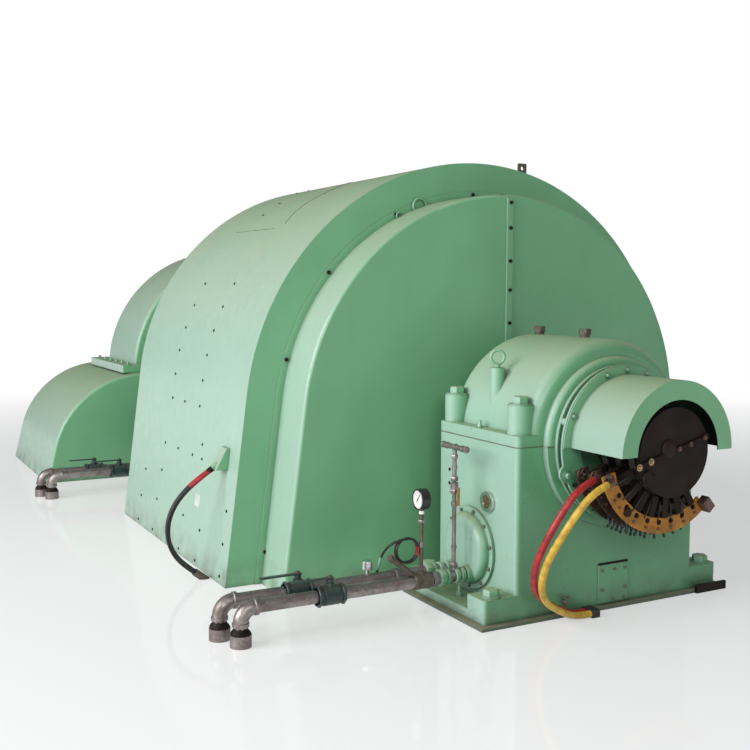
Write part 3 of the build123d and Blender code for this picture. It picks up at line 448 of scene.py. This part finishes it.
def arc(centre, radius, start, end, count=16, plane="XZ"):
    """Points of an arc in an upright plane, angles from the plane's first axis towards +Z."""
    made = []
    for index in range(count + 1):
        angle = math.radians(start + (end - start) * index / count)
        step = (radius * math.cos(angle), 0.0) if plane == "XZ" else (0.0, radius * math.cos(angle))
        made.append((centre[0] + step[0], centre[1] + step[1], centre[2] + radius * math.sin(angle)))
    return made


# Fasteners and fittings


def add_hood_fasteners():
    screws = Joined()
    places = [dict(y=y, angle=a) for y in (1.535, 2.05) for a in (31.5, 25.5, 19.6, 13.8, 7.9, 2.0)]
    places += [dict(y=1.81, angle=2.0), dict(y=2.642, angle=80.0), dict(y=2.466, angle=73.1)]
    places += [dict(y=2.202, angle=62.7), dict(y=2.144, angle=56.2)]
    places += [dict(y=y, z=0.59) for y in (1.40, 1.57, 1.84, 2.10)]
    places += [dict(y=y, z=0.03) for y in (1.334, 1.635, 2.17, 2.50)]
    places += [dict(y=y, z=z) for y, z in ((1.42, 0.67), (2.45, 0.37), (2.11, 0.417), (2.49, 0.19))]
    places += [dict(y=y, z=z) for y, z in ((2.146, 0.228), (1.615, 0.23), (1.31, 0.204))]
    places += [dict(y=0.935, z=z) for z in (0.383, 0.208, 0.04)]
    for side in (-1, 1):
        for place in places:
            point, out = hood_skin(side=side, **place)
            screws.lathe(point - 0.002 * out, out, [(0.0085, 0.0), (0.0085, 0.004), (0.005, 0.007)], 10)
    screws.piece("hood_skin_screws", "dark_steel")

    seam = Joined()
    upright = ((1.87, 78.0), (1.72, 72.0), (1.64, 67.7), (1.624, 61.5))
    upright += ((1.588, 55.5), (1.548, 52.5), (1.49, 49.5))
    level = ((1.60, 48.6), (1.84, 48.8), (2.01, 48.9), (2.3, 49.0))
    for line in (upright, level):
        points = []
        for (y0, a0), (y1, a1) in zip(line, line[1:]):
            for step in range(6):
                t = step / 6
                point, out = hood_skin(y0 + (y1 - y0) * t, angle=a0 + (a1 - a0) * t)
                points.append(point + 0.0002 * out)
        seam.tube(points, 0.0022, 6)
    seam.piece("hood_panel_seams", "grout_steel")

    bolts = Joined()
    circle = 1.268
    for y, facing in both_ends(BELL_FLANGE_Y):
        for index in range(11):
            angle = -26.0 + 23.7 * index
            place = polar(circle, angle, y)
            if place[2] > 0.05:
                bolts.bolt(place, (0, facing, 0), 0.018, angle, washer=False)
        for x in (-1.343, 1.343):
            bolts.bolt((x, y, 0.17), (0, facing, 0), 0.018, washer=False)
        for x, z in ((0.15, 2.098), (-1.2, 0.817), (-1.185, 0.80)):
            head = [(0.007, -0.002), (0.007, 0.003), (0.004, 0.005)]
            bolts.lathe((x, y + 0.002 * facing, z), (0, facing, 0), head, 10)
    for y, facing in both_ends(STRAP_FRONT_Y):
        for z in (2.03, 1.8905, 1.7099, 1.5504, 1.368, 1.19, 0.5, 0.34, 0.18):
            bolts.bolt((0.0, y, z), (0, facing, 0), 0.017, 0.4, washer=False)
    bolts.piece("bell_bolts", "dark_steel")

    eyes = Joined()
    for y, facing in both_ends(BELL_FLANGE_Y):
        for side in (-1, 1):
            centre = (side * 0.412, y + 0.012 * facing, 2.012)
            eyes.tube(arc(centre, 0.042, 0, 345, 28), 0.0062, 10)
            foot = [(0.014, -0.002), (0.014, 0.008), (0.009, 0.016)]
            eyes.lathe((side * 0.412, y, 1.966), (0, facing, 0), foot, 14)
            hook = arc((side * 0.547, y + 0.016 * facing, 1.955), 0.016, 60, 290, 14)
            eyes.tube([(side * 0.547, y, 1.975)] + hook, 0.0045, 8)
    eyes.piece("bell_eyes", "hood_paint")

    tag = Joined()
    lean = Matrix.Rotation(math.radians(HOOD_FLARE), 3, "Y")
    tag.box(hood_skin(1.399, z=0.355)[0], (0.002, 0.085, 0.07), lean)
    tag.piece("hood_blank_tag", "hood_paint", material="pale_tag")


def add_pedestal_fasteners():
    anchors, bolts, caps, marks, split_shade = Joined(), Joined(), Joined(), Joined(), Joined()
    for shift in PEDESTAL_SHIFTS:
        for x in (-0.662, 0.668):
            for y in (-0.272, 0.285):
                washer = [(0.046, -0.001), (0.046, 0.007), (0.03, 0.008)]
                anchors.lathe((x, y + shift, FOOT_LUG_TOP), UP, washer, 26)
                anchors.bolt((x, y + shift, FOOT_LUG_TOP + 0.007), UP, 0.07, 0.4 + x, False, 0.45)
            anchors.bolt((math.copysign(0.652, x), 0.01 + shift, 0.056), UP, 0.03, 0.2, False, 0.7, 1.0)
        for x in (-0.49, 0.49):
            for y in (-0.246, 0.297):
                washer = [(0.056, -0.001), (0.056, 0.006), (0.03, 0.007)]
                caps.lathe((x, y + shift, CAP_BOSS_TOP), UP, washer, 28)
                caps.bolt((x, y + shift, CAP_BOSS_TOP + 0.006), UP, 0.068, 0.3 + 2 * y, False, 0.5)
        for side in (-1, 1):
            for index in range(11):
                angle = math.radians(70 + 360 * index / 11)
                y = 0.052 + COVER_BOLT_R * math.cos(angle) + shift
                z = 0.28 + COVER_BOLT_R * math.sin(angle)
                bolts.bolt((side * 0.573, y, z), (side, 0, 0), 0.016, angle, False, 0.6)
            # Painted shade: two dark discs on each side face stand in for the shade in two small screw holes.
            hole_shade_disc = [(0.009, 0.0), (0.009, 0.003), (0.006, 0.004)]
            for z in (0.637, 0.567):
                marks.lathe((side * 0.556, 0.258 + shift, z), (side, 0, 0), hole_shade_disc, 14)
            nipple = [(0.013, 0.0), (0.013, 0.012), (0.008, 0.02), (0.008, 0.036)]
            caps.lathe((side * 0.53, 0.03 + shift, 0.878), UP, nipple, 14)
            # Painted shade: dark beads along the split line of cap and pedestal stand in for the shadow in
            # its groove.
            edge = [(side * 0.412, -0.3205)] + rounded_corner(side * 0.557, -0.321, side, -1)
            edge += rounded_corner(side * 0.557, 0.36, side, 1) + [(0.0, 0.36)]
            split_shade.tube([(x, y + shift, SHAFT_Z) for x, y in edge], 0.0028, 6)
            face = [(side * 0.374, -0.355), (side * 0.41, -0.355)]
            split_shade.tube([(x, y + shift, SHAFT_Z) for x, y in face], 0.0028, 6)
        # Painted shadow: a dark strip over the access plate stands in for the shade of the slot above it.
        marks.box((0.0285, -0.3225 + shift, 0.2175), (0.187, 0.004, 0.009))
        plate = ((-0.0445, 0.187), (0.0324, 0.187), (0.1007, 0.187), (-0.042, 0.09), (0.102, 0.09))
        for x, z in plate + ((0.03, 0.036), (0.1, 0.036)):
            bolts.bolt((x, -0.329 + shift, z), FRONT, 0.015, x * 30, False, 0.5)
    marks.box((0.6515, -0.368, 0.021), (0.205, 0.016, 0.042))
    anchors.piece("foundation_nuts", "casting_paint")
    bolts.piece("cover_bolts", "grout_steel")
    caps.piece("bearing_cap_bolts", "casting_paint")
    marks.piece("pedestal_clamp_and_painted_shade", "dark_steel")
    split_shade.piece("split_line_painted_shade", "grout_steel")


def rounded_corner(x, y, side, end, radius=0.024):
    """Plan points round a corner of the pedestal's body, from the near side to the far side."""
    points = []
    for index in range(7):
        angle = math.radians(90 * index / 6)
        across, along = (math.sin(angle), math.cos(angle)) if end < 0 else (math.cos(angle), math.sin(angle))
        points.append((x - side * radius * (1 - across), y - end * radius * (1 - along)))
    return points


def add_brush_gear_details():
    bolts, dark, bright, leads = Joined(), Joined(), Joined(), Joined()
    inner_row, outer_row = 0.327, 0.357
    for y in (-0.69, -0.60, -0.51):
        for angle in (213.3, 226.0, 239.1, 251.8, 264.2, 276.9, 289.4, 302.5):
            bolts.bolt(polar(inner_row, angle, y), FRONT, 0.013, angle, True, 0.55)
        for angle in (213.9, 221.0, 238.9, 251.7, 264.1, 276.5, 289.6, 302.0):
            bright.bolt(polar(outer_row, angle, y), FRONT, 0.0125, angle, False, 0.6)
        dark.bolt(polar(0.342, 228.9, y), FRONT, 0.04, 0.3, False, 0.3)
        bright.bolt(polar(0.345, 198.0, y - 0.004), FRONT, 0.016, 0.2, False, 0.5, 0.3)
        turns = [0.4 * k for k in range(16)]
        bail = [polar(0.345 + 0.017 * math.cos(a), 198 + 4.4 * math.sin(a), y - 0.012) for a in turns]
        bright.tube(bail, 0.0025, 8)
    spread = 2.6
    for y, reach in ((-0.655, 0.036), (-0.565, 0.044), (-0.535, 0.04)):
        for angle in (241.0, 249.0, 258.0, 266.5, 275.0, 283.0, 290.0):
            points = []
            for step in range(13):
                t = step / 12
                radius = 0.372 + reach * math.sin(math.pi * t)
                sway = 0.012 * math.sin(2 * math.pi * t)
                points.append(polar(radius, angle - spread + 2 * spread * t, y - sway))
            leads.tube(points, 0.0044, 7)
    for y in RING_YS:
        for index in range(HOLDER_COUNT):
            angle = 206.0 + index * 14.6
            for hand in (-1, 1):
                points = []
                for step in range(11):
                    t = step / 10
                    bulge = math.sin(math.pi * t)
                    bowed = angle + hand * (2.2 + 1.6 * bulge)
                    points.append(polar(0.232 + 0.09 * t, bowed, y + hand * (0.008 + 0.012 * bulge)))
                leads.tube(points, 0.0028, 6)
            outward = Matrix.Rotation(math.radians(-angle), 3, "Y")
            dark.box(polar(0.262, angle, y), (0.028, 0.026, 0.03), outward)
    bolts.piece("arc_plate_bolts", "dark_steel")
    bright.piece("arc_plate_terminals", "terminal_metal")
    dark.piece("brush_pressure_boxes", "dark_insulation")
    leads.piece("brush_pigtails", "black_rubber")

    canopy = Joined()
    for angle in (25.0, 69.6, 90.0, 110.4, 155.2):
        canopy.bolt(polar(0.351, angle, -0.423), FRONT, 0.018, angle, True, 0.55)
    for side in (-1, 1):
        canopy.bolt(polar(0.298, 90 + side * 47, -0.757), FRONT, 0.016, 0.2, False, 0.5)
        canopy.bolt(polar(0.369, 270 + side * 69.7, -0.417), FRONT, 0.026, 0.1, True, 0.6)
    canopy.piece("canopy_bolts", "casting_paint")


def add_end_disc_details():
    strap, brass_bolts, steel_bolts, hub = Joined(), Joined(), Joined(), Joined()
    turn = Matrix.Rotation(-math.radians(15), 3, "Y")
    centre = Vector((-0.02, -0.748, 0.83))
    for index in range(46):
        along = -0.2 + 0.4 * index / 45
        tilt = turn @ Matrix.Rotation(math.radians(28 if index % 2 else -28), 3, "Y")
        strap.box(centre + turn @ Vector((along, 0, 0)), (0.0042, 0.0125, 0.021), tilt)
    for x, z in ((-0.216, 0.7755), (-0.148, 0.796)):
        brass_bolts.bolt((x, -0.753, z), FRONT, 0.017, 0.4, True, 0.5)
    for x, z in ((0.0215, 0.841), (0.0895, 0.859), (0.176, 0.8825)):
        steel_bolts.bolt((x, -0.753, z), FRONT, 0.012, 0.2, True, 0.5)
    boss = [(0.042, 0.0), (0.042, 0.006), (0.03, 0.015), (0.012, 0.0165)]
    hub.lathe((-0.038, -0.743, 0.845), FRONT, boss, 28)
    hub.tube(arc((-0.15, -0.748, 0.72), 0.035, 20, 250, 18), 0.004, 8)
    hub.piece("end_disc_hub", "dark_insulation", ROTOR)
    strap.piece("end_disc_braid", "dark_insulation", ROTOR)
    brass_bolts.piece("end_disc_brass_bolts", "bronze", ROTOR)
    steel_bolts.piece("end_disc_steel_bolts", "terminal_metal", ROTOR)


def add_pipe_fittings():
    joints, unions, dark, nuts = Joined(), Joined(), Joined(), Joined()
    painted, tee = Joined(), Joined()
    rows = (
        (FRONT_PIPE_Y, -1.800, (-0.82, -0.69, -0.66)),
        (0.118, -1.850, (-0.95, -0.70, -0.66)),
        (3.588, -1.905, (-0.86, -0.69, -0.66)),
        (3.718, -1.955, (-0.98, -0.70, -0.66)),
    )
    valves = (-1.369, -1.471, -1.404, -1.563)
    elbow_end = [(0.034, 0.0), (0.0385, 0.003), (0.0385, 0.018), (0.031, 0.021)]
    union = [(0.046, 0.0), (0.046, 0.012), (0.041, 0.02), (0.034, 0.028), (0.031, 0.034)]
    union_ring = [(0.047, -0.003), (0.0478, -0.001), (0.0478, 0.002), (0.047, 0.004)]
    for (y, drop, rings), valve in zip(rows, valves):
        for x in rings:
            fitting = painted if x > -0.8 else joints
            fitting.collar((x - 0.012, y, PIPE_Z), EAST, 0.031, 0.038, 0.024, 0.003, 26)
        painted.collar((-0.79, y, PIPE_Z), EAST, 0.042, 0.044, 0.034, 0.004, 8, 0.2)
        painted.collar((-0.752, y, PIPE_Z), EAST, 0.031, 0.039, 0.02, 0.003, 26)
        centre = (drop + PIPE_BEND_R, y, PIPE_Z - PIPE_BEND_R)
        joints.tube(arc(centre, PIPE_BEND_R, 90, 180, 10), 0.0345, 22)
        joints.lathe((drop + PIPE_BEND_R - 0.004, y, PIPE_Z), EAST, elbow_end, 26)
        joints.lathe((drop, y, PIPE_Z - PIPE_BEND_R + 0.004), DOWN, elbow_end, 26)
        unions.lathe((drop, y, 0.05), UP, union, 8, 0.3)
        for z in (0.012, 0.024, 0.036):
            unions.lathe((drop, y, z), UP, union_ring, 28)
        for x in (valve - 0.068, valve + 0.052):
            dark.collar((x, y, PIPE_Z), EAST, 0.046, 0.05, 0.016, 0.003, 8, 0.4)
        dark.lathe((valve, y, PIPE_Z + 0.036), UP, [(0.026, 0.0), (0.026, 0.016), (0.021, 0.02)], 6, 0.2)
        nuts.bolt((valve, y, 0.2505), UP, 0.017, 0.3, True, 0.4)
    tee.collar((-0.93, FRONT_PIPE_Y, PIPE_Z), EAST, 0.032, 0.0385, 0.09, 0.003, 26)
    tee_nut = [(0.02, 0.0), (0.02, 0.018), (0.015, 0.022)]
    tee.lathe((GAUGE_X, FRONT_PIPE_Y, PIPE_Z + 0.028), UP, tee_nut, 6, 0.3)
    joints.piece("pipe_couplings", "galvanised_pipe")
    painted.piece("painted_pipe_couplings", "casting_paint")
    tee.piece("gauge_tee", "rusty_steel")
    unions.piece("floor_union_nuts", "dark_steel")
    dark.piece("valve_end_nuts", "valve_paint")
    nuts.piece("valve_stem_nuts", "rusty_steel")

    drip, bands = Joined(), Joined()
    for z, size in ((0.215, 0.034), (0.512, 0.031), (0.575, 0.04), (0.636, 0.036), (0.744, 0.031)):
        drip.collar((DRIP_X, FRONT_PIPE_Y, z), UP, size / 1.9, size / 1.75, 0.02, 0.003, 6)
    for z in (0.30, 0.69):
        drip.collar((DRIP_X, FRONT_PIPE_Y, z), UP, 0.0106, 0.0132, 0.02, 0.002, 18)
    for y in (-0.1185, -0.085, -0.024, 0.046, 0.0825):
        drip.collar((DRIP_X, y, 0.8), BACK, 0.0131, 0.0165, 0.012, 0.002, 16)
    drip.collar((GAUGE_X, FRONT_PIPE_Y, 0.451), UP, 0.0165, 0.0175, 0.014, 0.002, 6)
    drip.collar((GAUGE_X, FRONT_PIPE_Y, 0.33), UP, 0.0092, 0.013, 0.033, 0.003, 16)
    drip.piece("small_bore_fittings", "galvanised_pipe")
    bands.collar((GAUGE_X, FRONT_PIPE_Y, 0.492), UP, 0.0095, 0.0125, 0.017, 0.001, 18)
    bands.piece("thread_tape", "bright_steel", material="white_enamel")


def add_gauge_face():
    dial, marks, rim = Joined(), Joined(), Joined()
    centre = Vector((-0.9062, FRONT_PIPE_Y, 0.563))
    dial.lathe(centre, WEST, [(0.0425, -0.001), (0.0425, 0.0008)], 40)
    rim.tube(arc(centre + Vector((-0.0005, 0, 0)), 0.0465, 0, 360, 48, "YZ")[:-1], 0.0042, 8, True)
    for index in range(31):
        angle = math.radians(-135 + 9 * index)
        size = (0.001, 0.0012, 0.0085) if index % 5 == 0 else (0.001, 0.0007, 0.005)
        place = centre + Vector((-0.0011, 0.0355 * math.sin(angle), 0.0355 * math.cos(angle)))
        marks.box(place, size, Matrix.Rotation(-angle, 3, "X"))
    lean = math.radians(-38)
    place = centre + Vector((-0.0018, 0.008 * math.sin(lean), 0.008 * math.cos(lean)))
    marks.box(place, (0.001, 0.0036, 0.05), Matrix.Rotation(-lean, 3, "X"))
    marks.lathe(centre, WEST, [(0.005, 0.0), (0.005, 0.003), (0.003, 0.0036)], 14)
    dial.piece("gauge_dial", "gauge_black", material="white_enamel")
    marks.piece("gauge_scale", "gauge_black")
    rim.piece("gauge_rim", "gauge_black")


def add_turbine_fasteners():
    bolts = Joined()
    for side in (-1, 1):
        for y in (4.36, 4.55, 4.74, 4.93, 5.12, 5.34):
            bolts.bolt((side * 1.12, y, 0.912), UP, 0.024, y, True, 0.6, 0.25)
        for x in (0.28, 0.46, 0.64, 0.82, 1.0):
            for y in (4.335, 5.365):
                bolts.bolt((side * x, y, 0.912), UP, 0.024, x, True, 0.6, 0.25)
        for z in (0.89, 0.95):
            bolts.lathe((side * 0.17, 4.203, z), FRONT, [(0.012, -0.004), (0.012, 0.008), (0.008, 0.01)], 6)
    bolts.piece("turbine_flange_bolts", "hood_paint")


# Cables: laid along the routes of the CAD model

RED_ROUTE = [
    (-0.362, -0.624, 0.712),
    (-0.456, -0.642, 0.688),
    (-0.540, -0.645, 0.605),
    (-0.604, -0.608, 0.470),
    (-0.622, -0.545, 0.330),
    (-0.575, -0.480, 0.200),
    (-0.462, -0.426, 0.114),
    (-0.348, -0.388, 0.052),
    (-0.265, -0.379, 0.018),
    (-0.190, -0.379, 0.018),
]
YELLOW_ROUTE = [
    (-0.362, -0.714, 0.705),
    (-0.436, -0.720, 0.682),
    (-0.510, -0.706, 0.608),
    (-0.570, -0.668, 0.490),
    (-0.608, -0.612, 0.365),
    (-0.592, -0.552, 0.240),
    (-0.520, -0.494, 0.142),
    (-0.412, -0.452, 0.078),
    (-0.328, -0.426, 0.036),
    (-0.256, -0.417, 0.018),
    (-0.190, -0.417, 0.018),
]
POWER_ROUTE = [
    (-1.560, 1.029, 0.600),
    (-1.624, 1.029, 0.558),
    (-1.691, 1.031, 0.507),
    (-1.748, 1.034, 0.448),
    (-1.787, 1.038, 0.378),
    (-1.804, 1.042, 0.300),
    (-1.796, 1.046, 0.222),
    (-1.764, 1.050, 0.151),
    (-1.713, 1.054, 0.092),
    (-1.652, 1.058, 0.044),
]
COIL_CENTRE = (-0.958, FRONT_PIPE_Y, 0.3217)
COIL_R = 0.058
SENSOR_R = 0.006
TAPED_R = 0.0072
SENSOR_STEPS = [
    (0.0, 0.0, 0.0),
    (-0.044, 0.0, 0.0),
    (-0.085, 0.024, -0.022),
    (-0.103, 0.064, -0.072),
    (-0.099, 0.104, -0.128),
    (-0.096, 0.130, -0.177),
]
COIL_TOP = Vector(COIL_CENTRE) + COIL_R * Vector(UP)
SENSOR_ROUTE = [COIL_TOP + Vector(step) for step in SENSOR_STEPS]
LEAD_R = 0.017


def spline_points(route, steps=24):
    """Points along the smooth NURBS line of a route."""
    curve = bpy.data.curves.new("route", "CURVE")
    curve.dimensions = "3D"
    curve.resolution_u = steps
    spline = curve.splines.new("NURBS")
    spline.points.add(len(route) - 1)
    for point, place in zip(spline.points, route):
        point.co = (*place, 1.0)
    spline.order_u = 3
    spline.use_endpoint_u = True
    holder = bpy.data.objects.new("route", curve)
    line = bpy.data.meshes.new_from_object(holder)
    points = [v.co.copy() for v in line.vertices]
    bpy.data.objects.remove(holder)
    bpy.data.curves.remove(curve)
    bpy.data.meshes.remove(line)
    return points


def length_of(points):
    return sum((b - a).length for a, b in zip(points, points[1:]))


def frames_along(points):
    """Each point with its distance along the line and two directions across it, carried without twist."""
    along = 0.0
    across = None
    for index, point in enumerate(points):
        before = points[max(index - 1, 0)]
        after = points[min(index + 1, len(points) - 1)]
        along += (point - before).length
        ahead = (after - before).normalized()
        across = across or ahead.orthogonal().normalized()
        across = (across - ahead * across.dot(ahead)).normalized()
        yield point, along, across, ahead.cross(across)


def wrapped_lead(name, route, slot, node):
    """Tube with the laps of a spiral tape wrapping, a little uneven along its length."""
    points = spline_points(route)
    shell = Joined()
    sides = 28
    lap = 0.024
    rings = []
    for point, along, across, side in frames_along(points):
        ring = []
        for k in range(sides):
            angle = 2 * math.pi * k / sides
            phase = (along / lap + k / sides) % 1.0
            lump = 0.006 * math.sin(along * 61.0) + 0.005 * math.sin(along * 143.0 + angle)
            radius = LEAD_R * (0.93 + 0.058 * phase + lump)
            ring.append(point + radius * (across * math.cos(angle) + side * math.sin(angle)))
        rings.append(ring)
    shell.skin(rings)
    made = shell.piece(name, slot, sharp=60.0)
    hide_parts(node)
    lay_cord(points)


def lay_cord(points):
    list(points[0])
    length_of(points)
    [list(p) for p in points]


def power_bundle():
    """Four black cables in one bundle from the outlet box into the floor, in red sleeves at the top."""
    points = spline_points(POWER_ROUTE)
    strand_r, offset = 0.0068, 0.0081
    twist, sleeve_length = 2.2, 0.155
    cables, sleeves, glands = Joined(), Joined(), Joined()
    for index in range(4):
        strand, sleeve = [], []
        for point, along, across, side in frames_along(points):
            angle = math.radians(45 + 90 * index) + twist * along
            place = point + offset * (across * math.cos(angle) + side * math.sin(angle))
            strand.append(place)
            if along < sleeve_length:
                sleeve.append(place)
        cables.tube(strand, strand_r, 12)
        sleeves.tube(sleeve, strand_r + 0.0006, 12)
    ahead = (points[3] - points[0]).normalized()
    nut = [(0.018, 0.0), (0.018, 0.02), (0.0165, 0.027), (0.0155, 0.034)]
    glands.lathe(points[0] - 0.004 * ahead, ahead, nut, 6, 0.3)
    gland = glands.piece("power_cable_gland", "dark_steel")
    sleeve = sleeves.piece("power_cable_sleeves", "red_tape", sharp=60.0)
    made = cables.piece("power_cable_bundle", "black_rubber", sharp=60.0)
    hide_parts("power_cables")
    lay_cord(points)


def sensor_cable():
    """Thin cable in two taped turns by the front oil pipe, its end led to the far pipe."""
    turns, tape, tail = Joined(), Joined(), Joined()
    line = []
    per_turn = 48
    for index in range(93):
        t = index / per_turn
        angle = 2 * math.pi * t
        x, y, z = COIL_CENTRE
        line.append((x + COIL_R * math.sin(angle), y + 0.0125 * t, z + COIL_R * math.cos(angle)))
    turns.tube(line, SENSOR_R, 12)
    for first in (10, 10 + per_turn):
        tape.tube(line[first : first + 7], TAPED_R, 12)
    coil = turns.piece("sensor_cable_turns", "black_rubber", sharp=60.0, replaced="sensor_cable_coil")
    tape_piece = tape.piece("sensor_cable_tape", "red_tape", sharp=60.0)
    lay_cord([Vector(p) for p in line])
    points = spline_points(SENSOR_ROUTE)
    tail.tube(points, SENSOR_R, 14)
    made = tail.piece("sensor_cable_tail", "black_rubber", sharp=60.0)
    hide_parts("sensor_cable")
    sleeve = Joined()
    sleeve.tube(points[-34:-4], TAPED_R, 14)
    sleeve_piece = sleeve.piece("sensor_cable_sleeve", "casting_paint", sharp=60.0)
    lay_cord(points)


# Room and light


def add_room():
    size = 60.0
    data = bpy.data.meshes.new("floor")
    corners = [(-size, -size, 0), (size, -size, 0), (size, size, 0), (-size, size, 0)]
    data.from_pydata(corners, [], [(0, 1, 2, 3)])
    floor = bpy.data.objects.new("floor", data)
    floor.location = (0, 2.5, -0.0005)
    bpy.context.scene.collection.objects.link(floor)
    g = Graph("floor")
    tree = g.tree
    g.finish(colour=(0.86, 0.86, 0.86), roughness=0.07, specular=0.75)
    glow = g.node("Emission", {"Color": (1, 1, 1, 1), "Strength": 1.0})
    ray = g.node("LightPath")
    seen = g.math("MAXIMUM", ray.outputs["Is Camera Ray"], ray.outputs["Is Glossy Ray"])
    away = g.node("VectorMath", {0: g.coords}, operation="LENGTH").outputs["Value"]
    share = g.math("MULTIPLY", seen, g.ramp(away, 3.0, 9.0, 0.45, 1.0))
    mixed = g.node("MixShader", {0: share, 1: g.shader.outputs[0], 2: glow.outputs[0]})
    tree.links.new(mixed.outputs[0], tree.nodes["Material Output"].inputs[0])
    data.materials.append(g.material)

    world = bpy.data.worlds.new("world")
    bpy.context.scene.world = world
    world.use_nodes = True
    nodes, links = world.node_tree.nodes, world.node_tree.links
    ray = nodes.new("ShaderNodeLightPath")
    plain_light = nodes["Background"]
    plain_light.inputs[0].default_value = (0.93, 0.97, 1.0, 1.0)
    plain_light.inputs[1].default_value = 0.26
    white = nodes.new("ShaderNodeBackground")
    white.inputs[0].default_value = (1, 1, 1, 1)
    white.inputs[1].default_value = 1.0
    both = nodes.new("ShaderNodeMixShader")
    links.new(ray.outputs["Is Camera Ray"], both.inputs[0])
    links.new(plain_light.outputs[0], both.inputs[1])
    links.new(white.outputs[0], both.inputs[2])
    links.new(both.outputs[0], nodes["World Output"].inputs[0])


def add_lamp(name, place, target, size, power, colour=(1, 1, 1)):
    data = bpy.data.lights.new(name, "AREA")
    data.shape = "RECTANGLE"
    data.size, data.size_y = size
    data.energy = power
    data.color = colour
    lamp = bpy.data.objects.new(name, data)
    lamp.location = place
    lamp.rotation_mode = "QUATERNION"
    lamp.rotation_quaternion = (Vector(target) - Vector(place)).to_track_quat("-Z", "Y")
    bpy.context.scene.collection.objects.link(lamp)


add_camera()
dress_cad_nodes()
wrapped_lead("red_wrapped_lead", RED_ROUTE, "red_tape", "red_lead")
wrapped_lead("yellow_wrapped_lead", YELLOW_ROUTE, "yellow_tape", "yellow_lead")
power_bundle()
sensor_cable()
add_hood_fasteners()
add_pedestal_fasteners()
add_brush_gear_details()
add_end_disc_details()
add_pipe_fittings()
add_gauge_face()
add_turbine_fasteners()
add_room()
add_lamp("key", (-9.5, 0.5, 4.6), (0, 2.0, 0.8), (7, 5), 1000, (1.0, 0.99, 0.99))
add_lamp("front", (-5.0, -8.5, 5.0), (0, 0.3, 0.8), (6, 4), 400, (0.97, 1.0, 1.0))
add_lamp("right", (9.0, 3.0, 5.0), (0, 2.5, 1.0), (6, 5), 60)
bpy.context.scene.view_settings.view_transform = "Standard"
